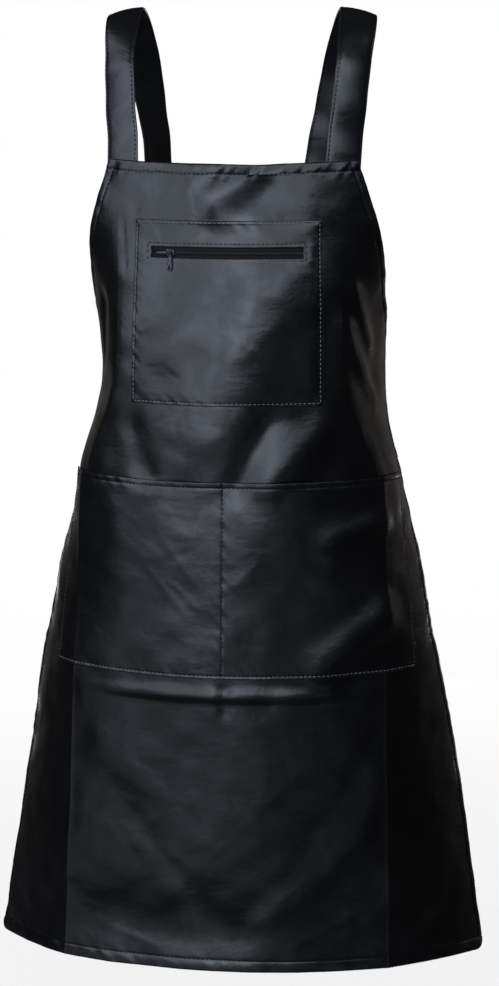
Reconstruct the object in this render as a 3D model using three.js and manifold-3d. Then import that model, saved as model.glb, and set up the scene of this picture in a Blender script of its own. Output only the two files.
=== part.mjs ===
// Bib apron of black PVC-coated cloth, as it hangs on a body: one hemmed front sheet that wraps round to
// the sides, a zipped chest pocket, a wide hip pocket sewn down in the middle, and two shoulder straps
// that run over the shoulders to a plain belt behind the waist.
// Millimetres, +Z up, front towards -Y. The origin is on top of the shoulders, midway between the straps.

import * as THREE from "three";
import Module from "manifold-3d";
import { mergeVertices } from "three/addons/utils/BufferGeometryUtils.js";

const wasm = await Module();
wasm.setup();

// Rows of a table as objects, by the names of its columns.
const table = (columns, ...rows) =>
  rows.map((row) => Object.fromEntries(columns.map((column, index) => [column, row[index]])));

// Sheet and sewing
const SHEET = 1.2; // coated cloth, one layer
const FOLDED = 2 * SHEET; // a hem or a strap, two layers
const SEAM_GAP = 0.4; // air between layers that are sewn together
const FOLD_STEP = 0.6; // the edge of a turned hem takes this much sheet

// Front sheet
const BIB_TOP = -146; // height of the bib's top corners
const BIB_SAG = 3; // the top edge dips by this much between the straps
const HEM_BOTTOM = -943;
const HEM_DROOP = 8; // the hem's corners hang lower by this much
const TOP_HEM = 9;
const BOTTOM_HEM = 10;
const SIDE_HEM = 8;

// Chest pocket and its zip
const CHEST_TOP = -203;
const CHEST_BOTTOM = -381.5;
const CHEST_HALF = { top: 93.5, bottom: 97 }; // half its width at those edges, on the flat sheet
const CHEST_PUFF = 0.7; // how far its middle stands proud of its seams
const CHEST_DISH = 2.6; // the sheet behind it is pressed in by this much, which makes room for the zip
const CHEST_MARGIN = 13; // puff and dish grow over this distance from the seam
const WINDOW_TOP = -227.9;
const WINDOW_BOTTOM = -239.6;
const WINDOW_SHARE = 0.65;
const TAPE = 0.8; // zip tape, one layer
const TAPE_DROP = 0.9; // the tape's face lies this far behind the pocket's inside
const TAPE_HALF = 12; // from the zip's line to the tape's edge
const COIL_HALF = 2.6; // the woven-in coil lifts the tape this far from the line
const COIL_LIFT = 0.6;
const COIL_SLOPE = 0.8; // width of the step from the tape up to the coil
const ZIP_LINE = (WINDOW_TOP + WINDOW_BOTTOM) / 2;

// Hip pocket
const HIP_TOP = -457;
const HIP_BOTTOM = -649;
const HIP_HEM = 17;
const HIP_GAPE = 5; // how far each half stands off at its mouth
const HIP_SKEW = 0.06; // the pocket lies this share of the side arc further to the right

// Straps and belt
const STRAP_WIDTH = 37;
const STRAP_ON_BIB = 116; // strap middle, measured round the bib from its middle
const STRAP_TUCK = 28; // length sewn behind the bib, and on to the belt
const STRAP_BOW = 1.6; // the bib and the belt bend away from the flat strap's middle by this much
const BELT_HEIGHT = -370; // middle of the belt
const BELT_TUCK = 28; // length sewn inside the front sheet's waist corner
const BELT_BACK = 96; // the belt's middle, behind the origin
const BELT_HANDLE = { corner: 50, back: 75 }; // pull of the belt's curve at its two ends

// Sections of the front sheet, from the bib's top to the hem. Each half is two arcs that meet at the
// crease: the front arc starts square at the middle and has turned by turnIn where it reaches creaseX,
// the side arc starts at turnOut, is sideArc long and ends at edgeTurn. pocketShare is the place of the
// hip pocket's edge along the side arc.
const SECTIONS = table(
  ["height", "front", "creaseX", "turnIn", "turnOut", "sideArc", "edgeTurn", "pocketShare"],
  [-150, -95, 112, 27, 29, 15, 33, 0.2],
  [-203, -106, 112, 29, 32, 37, 40, 0.3],
  [-250, -113, 112, 29, 41, 61, 65, 0.35],
  [-290, -117, 112, 29, 51, 83, 79, 0.4],
  [-330, -120, 112, 28.5, 56, 110, 90, 0.45],
  [-370, -122, 116, 31, 58.5, 122, 96, 0.55],
  [-410, -125, 131, 38.5, 61, 102, 100, 0.6],
  [-457, -129, 147, 44.5, 60, 78, 100, 0.47],
  [-560, -136, 153, 41, 51, 79, 78, 0.46],
  [-650, -141, 157, 36, 46, 93, 72, 0.4],
  [-760, -146, 160, 31, 44, 123, 73, 0.3],
  [-943, -150, 165, 24, 37, 140, 66, 0.2],
);

// Folds of the front sheet. Each is a soft ridge (rise above 0) or furrow along a line on the flat sheet,
// from a to b, given as the distance round from the middle and the height. left and right say how far a
// fold that runs down reaches to each side, as seen from the front. For a fold that runs level from left
// to right they are its reach below and above.
const FOLDS = table(
  ["name", "aAround", "aHeight", "bAround", "bHeight", "left", "right", "rise"],
  ["packing ridge", -172, -668, 172, -668, 6, 12, 2.8],
  ["packing notch", 3, -650, 3, -694, 9, 9, -2],
  ["left skirt furrow", -130, -745, 10, -915, 20, 20, -1.8],
  ["left skirt ridge", -150, -700, -25, -800, 20, 20, 1.4],
  ["right skirt ridge", 165, -785, 25, -912, 18, 18, 1.8],
  ["right skirt furrow", 168, -700, 70, -850, 24, 24, -1.6],
  ["bib furrow", 52, -138, -36, -200, 26, 24, -5.5],
  ["chest ridge", 75, -215, -45, -470, 70, 60, 7],
  ["belly ridge", 118, -388, 28, -474, 26, 26, 5],
  ["belly furrow", 52, -375, 2, -482, 20, 20, -4],
  ["left belly furrow", -108, -385, -72, -475, 20, 20, -2.8],
  ["upper hip ridge", 80, -520, 185, -492, 20, 22, 2.4],
  ["lower hip ridge", 72, -655, 190, -575, 26, 34, 3.8],
  ["right rib", 122, -255, 178, -345, 13, 13, 3],
  ["right rib below", 112, -290, 182, -400, 15, 15, 3],
  ["left rib", -150, -265, -165, -365, 14, 14, -3.5],
  ["right side bulge", 212, -262, 212, -410, 40, 20, 3],
  ["hem furrow", -190, -896, 75, -912, 30, 46, -4.5],
);
const FOLD_ENDS = 0.25; // a fold dies out over this share of its length, at both ends

// The way of the right strap from the shoulder blade over the shoulder to the chest. yaw turns the strap's
// width about the vertical, slope lowers its outer edge. The left strap mirrors it, apart from drift, how
// far it lies outside that mirror image, and twist, which is added to its yaw.
const STRAP_WAY = [
  { at: "blade", x: 57.5, y: 93, z: -215, yaw: -38, slope: 0, drift: 38.5, twist: -16 },
  { at: "upper back", x: 74.5, y: 88, z: -120, yaw: -32, slope: 5, drift: 28.5, twist: -19 },
  { at: "behind shoulder", x: 98, y: 58, z: -36, yaw: -12, slope: 10, drift: 16, twist: -10 },
  { at: "shoulder", x: 117, y: 0, z: -2.5, yaw: 2, slope: 13, drift: 0, twist: 0 },
  { at: "collarbone", x: 117, y: -40, z: -48, yaw: 30, slope: 7, drift: -1, twist: 0 },
];
const STRAP_SPANS = 5; // pieces of a strap between two rows
const STRAP_CLEAR = 12; // the strap stays straight this far above the belt
const STRAP_SEAT = { right: 0.66, left: 0.54 }; // place on each half of the belt, from corner to middle

// Colours and finishes
const PVC = { color: 0x15161a, roughness: 0.42, metalness: 0 };
const WEBBING = { color: 0x121317, roughness: 0.55, metalness: 0 };
const ZIP_CLOTH = { color: 0x16181f, roughness: 0.8, metalness: 0 };
const ENAMEL = { color: 0x2a2b2e, roughness: 0.35, metalness: 0.7 };

const SAME_POINT = 1e-4; // points closer than this are one
const radians = THREE.MathUtils.degToRad;
const clamp01 = (value) => THREE.MathUtils.clamp(value, 0, 1);
const smooth = (value) => THREE.MathUtils.smoothstep(value, 0, 1);

// One column of a table at a height between its rows, on a smooth curve through the rows.
function tableAt(rows, column, height) {
  const last = rows.length - 1;
  let low = 0;
  while (low < last - 1 && height < rows[low + 1].height) low += 1;
  const [before, from, to, after] = [low - 1, low, low + 1, low + 2].map(
    (index) => rows[THREE.MathUtils.clamp(index, 0, last)],
  );
  const span = to.height - from.height;
  const t = (height - from.height) / span;
  const slopeFrom = ((to[column] - before[column]) / (to.height - before.height)) * span;
  const slopeTo = ((after[column] - from[column]) / (after.height - from.height)) * span;
  const t2 = t * t;
  const t3 = t2 * t;
  return (
    (2 * t3 - 3 * t2 + 1) * from[column] +
    (t3 - 2 * t2 + t) * slopeFrom +
    (3 * t2 - 2 * t3) * to[column] +
    (t3 - t2) * slopeTo
  );
}

// How far round the crease lies at a height, and the chest pocket's side edge as a share of that way.
// Above and below the pocket the share stays as it is at its top and bottom.
function creaseAt(height) {
  const turnIn = radians(tableAt(SECTIONS, "turnIn", height));
  return (tableAt(SECTIONS, "creaseX", height) / Math.sin(turnIn)) * turnIn;
}

function chestShare(height) {
  const level = THREE.MathUtils.clamp(height, CHEST_BOTTOM, CHEST_TOP);
  const { top, bottom } = CHEST_HALF;
  return THREE.MathUtils.mapLinear(level, CHEST_TOP, CHEST_BOTTOM, top, bottom) / creaseAt(level);
}

// The right half of the front sheet's section at a height, with its two arcs worked out.
function sectionAt(height) {
  const at = (column) => tableAt(SECTIONS, column, height);
  const turnIn = radians(at("turnIn"));
  const turnOut = radians(at("turnOut"));
  const edgeTurn = radians(at("edgeTurn"));
  const creaseX = at("creaseX");
  const sideArc = at("sideArc");
  const frontRadius = creaseX / Math.sin(turnIn);
  const crease = creaseAt(height);
  return {
    front: at("front"),
    turnIn,
    turnOut,
    edgeTurn,
    creaseX,
    frontRadius,
    crease,
    sideRadius: sideArc / (edgeTurn - turnOut),
    chestLine: chestShare(height) * crease,
    pocketLine: (side) => crease + (at("pocketShare") + side * HIP_SKEW) * sideArc,
    edge: crease + sideArc,
  };
}

// A point of the unfolded-flat sheet on its curved section: around is the distance from the middle.
function sectionPoint(section, around) {
  const side = Math.sign(around);
  const arc = Math.abs(around);
  if (arc <= section.crease) {
    const turn = arc / section.frontRadius;
    return {
      x: side * section.frontRadius * Math.sin(turn),
      y: section.front + section.frontRadius * (1 - Math.cos(turn)),
    };
  }
  const creaseY = section.front + section.frontRadius * (1 - Math.cos(section.turnIn));
  const turn = section.turnOut + (arc - section.crease) / section.sideRadius;
  return {
    x: side * (section.creaseX + section.sideRadius * (Math.sin(turn) - Math.sin(section.turnOut))),
    y: creaseY + section.sideRadius * (Math.cos(section.turnOut) - Math.cos(turn)),
  };
}

// How far the folds lift the sheet at a place on it.
function foldRise(around, height) {
  let rise = 0;
  for (const fold of FOLDS) {
    const along = new THREE.Vector2(fold.bAround - fold.aAround, fold.bHeight - fold.aHeight);
    const from = new THREE.Vector2(around - fold.aAround, height - fold.aHeight);
    const share = from.dot(along) / along.lengthSq();
    const away = from.cross(along) / along.length();
    const reach = away > 0 ? fold.left : fold.right;
    const ends = smooth(share / FOLD_ENDS) * smooth((1 - share) / FOLD_ENDS);
    rise += fold.rise * ends * Math.exp(-2 * (away / reach) ** 2);
  }
  return rise;
}

// The outer face of the front sheet, before folds, and its outward direction.
const SURFACE_STEP = 2; // directions on the sheet are taken between points this far to each side

function bodyPoint(around, height) {
  const { x, y } = sectionPoint(sectionAt(height), around);
  return new THREE.Vector3(x, y, height);
}

function bodyNormal(around, height) {
  const right = bodyPoint(around + SURFACE_STEP, height);
  const left = bodyPoint(around - SURFACE_STEP, height);
  const below = bodyPoint(around, height - SURFACE_STEP);
  const above = bodyPoint(around, height + SURFACE_STEP);
  const across = right.sub(left);
  const down = below.sub(above);
  return down.cross(across).normalize();
}

// A point that stands off the folded sheet by a distance, outwards if above 0.
function offSheet(around, height, distance) {
  const lift = foldRise(around, height) + distance;
  return bodyPoint(around, height).addScaledVector(bodyNormal(around, height), lift);
}

// A closed sheet from a grid of places. face and back give the two surfaces, keep leaves cells out.
function sheetGeometry(columns, rows, face, back, keep = () => true) {
  const positions = [];
  for (const surface of [face, back])
    for (let row = 0; row <= rows; row += 1)
      for (let column = 0; column <= columns; column += 1) positions.push(...surface(column, row));
  const layer = (columns + 1) * (rows + 1);
  const vertex = (column, row, side) => side * layer + row * (columns + 1) + column;
  const inside = (column, row) =>
    column >= 0 && column < columns && row >= 0 && row < rows && keep(column, row);
  const index = [];
  const quad = (a, b, c, d, flip) => index.push(...(flip ? [a, b, d, b, c, d] : [a, b, c, a, c, d]));
  for (let row = 0; row < rows; row += 1)
    for (let column = 0; column < columns; column += 1) {
      if (!inside(column, row)) continue;
      const corners = [[column, row], [column, row + 1], [column + 1, row + 1], [column + 1, row]];
      const beyond = [[column - 1, row], [column, row + 1], [column + 1, row], [column, row - 1]];
      const left = column < columns / 2;
      const [a, b, c, d] = corners.map(([i, j]) => vertex(i, j, 0));
      const [e, f, g, h] = corners.map(([i, j]) => vertex(i, j, 1));
      quad(a, b, c, d, left);
      quad(e, h, g, f, left);
      beyond.forEach(([i, j], edge) => {
        if (inside(i, j)) return;
        const from = corners[edge];
        const to = corners[(edge + 1) % 4];
        quad(vertex(...to, 0), vertex(...from, 0), vertex(...from, 1), vertex(...to, 1), false);
      });
    }
  const geometry = new THREE.BufferGeometry();
  geometry.setAttribute("position", new THREE.Float32BufferAttribute(positions, 3));
  geometry.setIndex(index);
  const used = mergeVertices(geometry.toNonIndexed(), SAME_POINT);
  used.computeVertexNormals();
  return used;
}

// Even steps from one value to another, without the first.
const steps = (from, to, count) =>
  Array.from({ length: count }, (_, index) => from + ((to - from) * (index + 1)) / count);

// Columns of the front sheet, one half: each gives its distance from the middle on a section. side is 1
// on the right and -1 on the left.
const INNER_SHARES = [0.11, 0.22, 0.33, 0.44, 0.55, WINDOW_SHARE, 0.717];
const OUTER_SHARES = [0.89, 1];
const onFront = (share) => (section) => share * section.crease;
const hemLine = (section) => section.edge - SIDE_HEM;
const SHEET_COLUMNS = [
  ...INNER_SHARES.map(onFront),
  (section) => section.chestLine,
  ...OUTER_SHARES.map(onFront),
  (section, side) => (section.crease + section.pocketLine(side)) / 2,
  (section, side) => section.pocketLine(side),
  (section, side) => (section.pocketLine(side) + hemLine(section)) / 2,
  (section) => hemLine(section) - FOLD_STEP,
  hemLine,
  (section) => section.edge,
];
const HALF_COLUMNS = SHEET_COLUMNS.length;
const CHEST_COLUMN = INNER_SHARES.length + 1;
const CREASE_COLUMN = CHEST_COLUMN + OUTER_SHARES.length;
const POCKET_COLUMN = CREASE_COLUMN + 2;
const HEM_COLUMN = HALF_COLUMNS - 1;
const WINDOW_COLUMN = INNER_SHARES.indexOf(WINDOW_SHARE) + 1;

// Distance from the middle of a signed column, 0 in the middle, at a height.
function columnAround(column, height) {
  if (column === 0) return 0;
  const side = Math.sign(column);
  return side * SHEET_COLUMNS[Math.abs(column) - 1](sectionAt(height), side);
}

// Rows of the front sheet, from the top edge down: finer across the packing ridge.
const PACKING_END = -705;
const BODY_ROWS = [
  BIB_TOP,
  BIB_TOP - TOP_HEM,
  BIB_TOP - TOP_HEM - FOLD_STEP,
  ...steps(BIB_TOP - TOP_HEM - FOLD_STEP, CHEST_TOP, 3),
  ...steps(CHEST_TOP, WINDOW_TOP, 2),
  WINDOW_BOTTOM,
  ...steps(WINDOW_BOTTOM, CHEST_BOTTOM, 8),
  ...steps(CHEST_BOTTOM, HIP_TOP, 5),
  ...steps(HIP_TOP, HIP_TOP - HIP_HEM, 1),
  ...steps(HIP_TOP - HIP_HEM, HIP_BOTTOM, 9),
  ...steps(HIP_BOTTOM, PACKING_END, 8),
  ...steps(PACKING_END, HEM_BOTTOM + BOTTOM_HEM + FOLD_STEP, 12),
  HEM_BOTTOM + BOTTOM_HEM,
  HEM_BOTTOM,
];
const rowAt = (height) => BODY_ROWS.indexOf(height);

// The top edge dips between the straps and the hem droops at its corners. The dip dies out at the chest
// pocket, the droop at the hip pocket.
function dipped(height, column) {
  const nearTop = clamp01((height - CHEST_TOP) / (BIB_TOP - CHEST_TOP));
  const nearHem = clamp01((HIP_BOTTOM - height) / (HIP_BOTTOM - HEM_BOTTOM));
  const sideways = (column / HALF_COLUMNS) ** 2;
  return height - BIB_SAG * nearTop * (1 - sideways) - HEM_DROOP * nearHem * sideways ** 2;
}

// 1 well inside the chest pocket's seams, 0 on them and outside.
function insideChest(around, height) {
  const fromSide = sectionAt(height).chestLine - Math.abs(around);
  const fromEnds = Math.min(CHEST_TOP - height, height - CHEST_BOTTOM);
  return smooth(fromSide / CHEST_MARGIN) * smooth(fromEnds / CHEST_MARGIN);
}

function frontSheet() {
  const last = BODY_ROWS.length - 1;
  const inHem = (column, row) =>
    Math.abs(column) >= HEM_COLUMN || row <= 1 || row >= last - 1;
  const place = (distance) => (index, row) => {
    const column = index - HALF_COLUMNS;
    const height = dipped(BODY_ROWS[row], column);
    const around = columnAround(column, height);
    const dish = CHEST_DISH * insideChest(around, height);
    return offSheet(around, height, distance(column, row) - dish).toArray();
  };
  const inner = (column, row) => (inHem(column, row) ? -FOLDED : -SHEET);
  return sheetGeometry(2 * HALF_COLUMNS, last, place(() => 0), place(inner));
}

// How far the inside of the chest pocket stands off the sheet as it would hang without the dish.
const chestStandOff = (around, height) => SEAM_GAP + CHEST_PUFF * insideChest(around, height);

function chestPocket() {
  const top = rowAt(CHEST_TOP);
  const rows = rowAt(CHEST_BOTTOM) - top;
  const windowRow = rowAt(WINDOW_TOP) - top;
  const place = (thickness) => (index, row) => {
    const height = BODY_ROWS[top + row];
    const around = columnAround(index - CHEST_COLUMN, height);
    return offSheet(around, height, chestStandOff(around, height) + thickness).toArray();
  };
  const margin = CHEST_COLUMN - WINDOW_COLUMN;
  const keep = (column, row) =>
    row !== windowRow || column < margin || column >= 2 * CHEST_COLUMN - margin;
  return sheetGeometry(2 * CHEST_COLUMN, rows, place(SHEET), place(0), keep);
}

// How far the inside of the hip pocket stands off the sheet: each half gapes at its mouth.
function hipStandOff(around, height) {
  const across = Math.abs(around) / sectionAt(height).pocketLine(Math.sign(around));
  const up = (height - HIP_BOTTOM) / (HIP_TOP - HIP_BOTTOM);
  return SEAM_GAP + HIP_GAPE * Math.sin(Math.PI * clamp01(across)) * smooth(up);
}

function hipPocket() {
  const top = rowAt(HIP_TOP);
  const rows = rowAt(HIP_BOTTOM) - top;
  const place = (thickness) => (index, row) => {
    const height = BODY_ROWS[top + row];
    const around = columnAround(index - POCKET_COLUMN, height);
    return offSheet(around, height, hipStandOff(around, height) + thickness(row)).toArray();
  };
  const outer = (row) => (row <= 1 ? FOLDED : SHEET);
  return sheetGeometry(2 * POCKET_COLUMN, rows, place(outer), place(() => 0));
}

// Zip tapes. The two meet along the zip's line, apart from the short open stretch left of the slider.
const ZIP_END = 82; // half the tapes' length
const MET = 0.2; // air between one tape's edge and the line where the two meet
const CLOSED_FROM = -53.5;
const CLOSED_SPANS = 10;
const TAPE_STATIONS = [
  { around: -ZIP_END, parted: MET },
  { around: -77, parted: MET },
  { around: -71, parted: 1.4 },
  { around: -65, parted: 1.6 },
  { around: -59, parted: 1.5 },
  { around: -56.4, parted: 1.4 },
  { around: CLOSED_FROM, parted: MET },
  ...steps(CLOSED_FROM, ZIP_END, CLOSED_SPANS).map((around) => ({ around, parted: MET })),
];
const SLIDER_AROUND = -55;

// The zip tape's face, measured from the front sheet.
const tapeStandOff = (around, height) => chestStandOff(around, height) - TAPE_DROP;

function zipTape(upward) {
  const profile = (station) => [TAPE_HALF, COIL_HALF + COIL_SLOPE, COIL_HALF, station.parted];
  const place = (thickness) => (index, row) => {
    const station = TAPE_STATIONS[index];
    const rung = upward > 0 ? row : 3 - row;
    const height = ZIP_LINE + upward * profile(station)[rung];
    const inWindow = Math.abs(station.around) < WINDOW_SHARE * sectionAt(ZIP_LINE).crease;
    const lift = rung >= 2 && inWindow ? COIL_LIFT : 0;
    const standOff = tapeStandOff(station.around, ZIP_LINE) + lift * thickness - TAPE * (1 - thickness);
    return offSheet(station.around, height, standOff).toArray();
  };
  return sheetGeometry(TAPE_STATIONS.length - 1, 3, place(1), place(0));
}

// A solid of the boolean library from a closed geometry, and back.
function solidOf(geometry) {
  const bare = geometry.index ? geometry.toNonIndexed() : geometry.clone();
  bare.deleteAttribute("normal");
  bare.deleteAttribute("uv");
  const merged = mergeVertices(bare, SAME_POINT);
  return new wasm.Manifold(
    new wasm.Mesh({
      numProp: 3,
      vertProperties: merged.attributes.position.array,
      triVerts: new Uint32Array(merged.index.array),
    }),
  );
}

function geometryOf(solid) {
  const mesh = solid.getMesh();
  const geometry = new THREE.BufferGeometry();
  geometry.setAttribute("position", new THREE.Float32BufferAttribute(mesh.vertProperties, 3));
  geometry.setIndex([...mesh.triVerts]);
  geometry.computeVertexNormals();
  return geometry;
}

const box = (width, depth, height, x, y, z) =>
  new THREE.BoxGeometry(width, depth, height).translate(x, y, z);

// Slider, in its own frame: x along the zip towards the closed end, y up the pocket, z outwards from the
// tape's face.
const SLIDER = { back: -5, nose: 4, backHalf: 3.7, noseHalf: 2.8, corner: 1.2, plate: 0.9, lower: 0.6 };
const POST = { x: -3.2, length: 1.6, width: 1.8 }; // joins the slider's two plates between the tapes
const PLAY = 0.3; // air between the slider and the tapes, and round the puller's eye
const WELD = 0.2; // pieces of the slider run into each other by this much
const PLATE_UNDER = COIL_LIFT + PLAY;
const PLATE_TOP = PLATE_UNDER + SLIDER.plate;
const LOWER_TOP = -TAPE - PLAY;
const EYE_OUTER = 1.7;
const EYE_INNER = 1.15;
const EYE_LENGTH = 3;
const EYE_SIDES = 14;
const BAR = 1.2; // the bail's bar, square
const BAIL_HALF = 3.1;
const PIVOT = PLATE_TOP + EYE_OUTER + PLAY; // height of the bail's bar, which the puller swings on

function plateGeometry(thickness, under) {
  const { corner } = SLIDER;
  const outline = new THREE.Shape();
  outline.moveTo(SLIDER.back, -SLIDER.backHalf + corner);
  outline.quadraticCurveTo(SLIDER.back, -SLIDER.backHalf, SLIDER.back + corner, -SLIDER.backHalf);
  outline.lineTo(SLIDER.nose - corner, -SLIDER.noseHalf);
  outline.quadraticCurveTo(SLIDER.nose, -SLIDER.noseHalf, SLIDER.nose, -SLIDER.noseHalf + corner);
  outline.lineTo(SLIDER.nose, SLIDER.noseHalf - corner);
  outline.quadraticCurveTo(SLIDER.nose, SLIDER.noseHalf, SLIDER.nose - corner, SLIDER.noseHalf);
  outline.lineTo(SLIDER.back + corner, SLIDER.backHalf);
  outline.quadraticCurveTo(SLIDER.back, SLIDER.backHalf, SLIDER.back, SLIDER.backHalf - corner);
  const settings = { depth: thickness, bevelEnabled: false, curveSegments: 3 };
  return new THREE.ExtrudeGeometry(outline, settings).translate(0, 0, under);
}

function zipSlider() {
  const postHeight = PLATE_UNDER - LOWER_TOP + 2 * WELD;
  const legHeight = PIVOT - PLATE_TOP + BAR / 2 + WELD;
  const legMiddle = PLATE_TOP - WELD + legHeight / 2;
  const pieces = [
    plateGeometry(SLIDER.plate, PLATE_UNDER),
    plateGeometry(SLIDER.lower, LOWER_TOP - SLIDER.lower),
    box(POST.length, POST.width, postHeight, POST.x, 0, (PLATE_UNDER + LOWER_TOP) / 2),
    box(BAR, BAR, legHeight, -BAIL_HALF, 0, legMiddle),
    box(BAR, BAR, legHeight, BAIL_HALF, 0, legMiddle),
    box(2 * BAIL_HALF + BAR, BAR, BAR, 0, 0, PIVOT),
  ];
  return geometryOf(pieces.map(solidOf).reduce((joined, piece) => joined.add(piece)));
}

// Puller, in a frame whose origin is the bail's bar: it hangs along -y.
const PULLER = { length: 18.5, neckHalf: 1.4, tipHalf: 2.6, thick: 1.1, hole: 1.2, weld: 0.3, shift: 0.6 };

function zipPuller() {
  const tip = -PULLER.length + PULLER.tipHalf;
  const neck = -EYE_OUTER + PULLER.weld;
  const outline = new THREE.Shape();
  outline.moveTo(-PULLER.neckHalf, neck);
  outline.lineTo(-PULLER.tipHalf, tip);
  outline.absarc(0, tip, PULLER.tipHalf, Math.PI, 2 * Math.PI, false);
  outline.lineTo(PULLER.neckHalf, neck);
  outline.holes.push(new THREE.Path().absarc(0, tip, PULLER.hole, 0, 2 * Math.PI, true));
  const settings = { depth: PULLER.thick, bevelEnabled: false, curveSegments: 8 };
  const tab = new THREE.ExtrudeGeometry(outline, settings).translate(0, 0, -PULLER.thick / 2);
  const ring = [
    [EYE_INNER, -EYE_LENGTH / 2],
    [EYE_OUTER, -EYE_LENGTH / 2],
    [EYE_OUTER, EYE_LENGTH / 2],
    [EYE_INNER, EYE_LENGTH / 2],
    [EYE_INNER, -EYE_LENGTH / 2],
  ].map(([radius, along]) => new THREE.Vector2(radius, along));
  const eye = new THREE.LatheGeometry(ring, EYE_SIDES).rotateZ(Math.PI / 2);
  return geometryOf(solidOf(tab).add(solidOf(eye)));
}

// A flat ribbon along places that each have a middle, a width direction and an outward direction.
function ribbonGeometry(places, width, thickness) {
  const across = 2;
  const place = (side) => (index, row) => {
    const { middle, widthWay, outward } = places[row];
    return middle
      .clone()
      .addScaledVector(widthWay, width * (index / across - 0.5))
      .addScaledVector(outward, (side * thickness) / 2)
      .toArray();
  };
  return sheetGeometry(across, places.length - 1, place(1), place(-1));
}

// The belt's line seen from above, right half: inside the waist corner first, then round the back.
const waist = sectionAt(BELT_HEIGHT);
const BELT_SPANS = 13;
const BELT_INSET = FOLDED + SEAM_GAP + STRAP_BOW + FOLDED / 2;

function cornerPoint(around) {
  const inward = bodyNormal(around, BELT_HEIGHT).setZ(0).normalize().negate();
  return bodyPoint(around, BELT_HEIGHT).addScaledVector(inward, BELT_INSET);
}

const beltCorner = cornerPoint(waist.edge);
const beltWay = new THREE.Vector3(Math.cos(waist.edgeTurn), Math.sin(waist.edgeTurn), 0);
const beltMiddle = new THREE.Vector3(0, BELT_BACK, BELT_HEIGHT);
const beltCurve = new THREE.CubicBezierCurve3(
  beltCorner,
  beltCorner.clone().addScaledVector(beltWay, BELT_HANDLE.corner),
  beltMiddle.clone().add(new THREE.Vector3(BELT_HANDLE.back, 0, 0)),
  beltMiddle,
);

function backBelt() {
  const tuck = [1, 2 / 3, 1 / 3].map((share) => waist.edge - share * BELT_TUCK);
  const half = [
    ...tuck.map(cornerPoint),
    ...beltCurve.getPoints(BELT_SPANS),
  ];
  const mirror = new THREE.Vector3(-1, 1, 1);
  const mirrored = half.slice(0, -1).reverse().map((point) => point.clone().multiply(mirror));
  const line = [...half, ...mirrored];
  const up = new THREE.Vector3(0, 0, 1);
  const places = line.map((middle, index) => {
    const before = line[Math.max(index - 1, 0)];
    const after = line[Math.min(index + 1, line.length - 1)];
    const along = after.clone().sub(before);
    return { middle, widthWay: up, outward: along.cross(up).normalize() };
  });
  return ribbonGeometry(places, STRAP_WIDTH, FOLDED);
}

// Stations of a strap, from its end on the belt up the back and down to the bib. side is 1 on the right.
function strapStations(side) {
  const seat = side > 0 ? STRAP_SEAT.right : STRAP_SEAT.left;
  const onBelt = beltCurve.getPointAt(seat);
  const beltTangent = beltCurve.getTangentAt(seat);
  const beltYaw = THREE.MathUtils.radToDeg(Math.atan2(-beltTangent.y, -beltTangent.x));
  const inward = new THREE.Vector3(-beltTangent.y, beltTangent.x, 0);
  const beltPlace = onBelt.clone().addScaledVector(inward, FOLDED + SEAM_GAP + STRAP_BOW);
  const beltRow = (z) => ({ x: beltPlace.x, y: beltPlace.y, z, yaw: beltYaw, slope: 0 });
  const behind = -(FOLDED + SEAM_GAP + STRAP_BOW + FOLDED / 2);
  const bibRow = (z) => {
    const place = bodyPoint(STRAP_ON_BIB, z).addScaledVector(bodyNormal(STRAP_ON_BIB, z), behind);
    const yaw = THREE.MathUtils.radToDeg(sectionAt(z).turnIn * (STRAP_ON_BIB / sectionAt(z).crease));
    return { x: place.x, y: place.y, z: place.z, yaw, slope: 0 };
  };
  const way = STRAP_WAY.map((row) =>
    side > 0 ? row : { ...row, x: row.x + row.drift, yaw: row.yaw + row.twist },
  );
  const lower = BELT_HEIGHT - STRAP_WIDTH / 2;
  return [
    beltRow(lower),
    beltRow(lower + STRAP_TUCK + STRAP_CLEAR),
    ...way,
    bibRow(BIB_TOP),
    bibRow(BIB_TOP - STRAP_TUCK),
  ].map((row) => ({ ...row, x: side * row.x, yaw: side * row.yaw, slope: side * row.slope }));
}

function shoulderStrap(side) {
  const stations = strapStations(side);
  const line = new THREE.CatmullRomCurve3(
    stations.map(({ x, y, z }) => new THREE.Vector3(x, y, z)),
    false,
    "centripetal",
  );
  const count = (stations.length - 1) * STRAP_SPANS;
  const places = Array.from({ length: count + 1 }, (_, index) => {
    const t = index / count;
    const low = Math.min(Math.floor(index / STRAP_SPANS), stations.length - 2);
    const share = smooth(index / STRAP_SPANS - low);
    const yaw = radians(THREE.MathUtils.lerp(stations[low].yaw, stations[low + 1].yaw, share));
    const slope = radians(THREE.MathUtils.lerp(stations[low].slope, stations[low + 1].slope, share));
    const along = line.getTangent(t);
    const hint = new THREE.Vector3(Math.cos(yaw) * Math.cos(slope), Math.sin(yaw), -Math.sin(slope));
    const widthWay = hint.addScaledVector(along, -hint.dot(along)).normalize();
    return { middle: line.getPoint(t), widthWay, outward: along.clone().cross(widthWay).normalize() };
  });
  return ribbonGeometry(places, STRAP_WIDTH, FOLDED);
}

function piece(name, geometry, finish) {
  const mesh = new THREE.Mesh(geometry, new THREE.MeshStandardMaterial(finish));
  mesh.name = name;
  return mesh;
}

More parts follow.
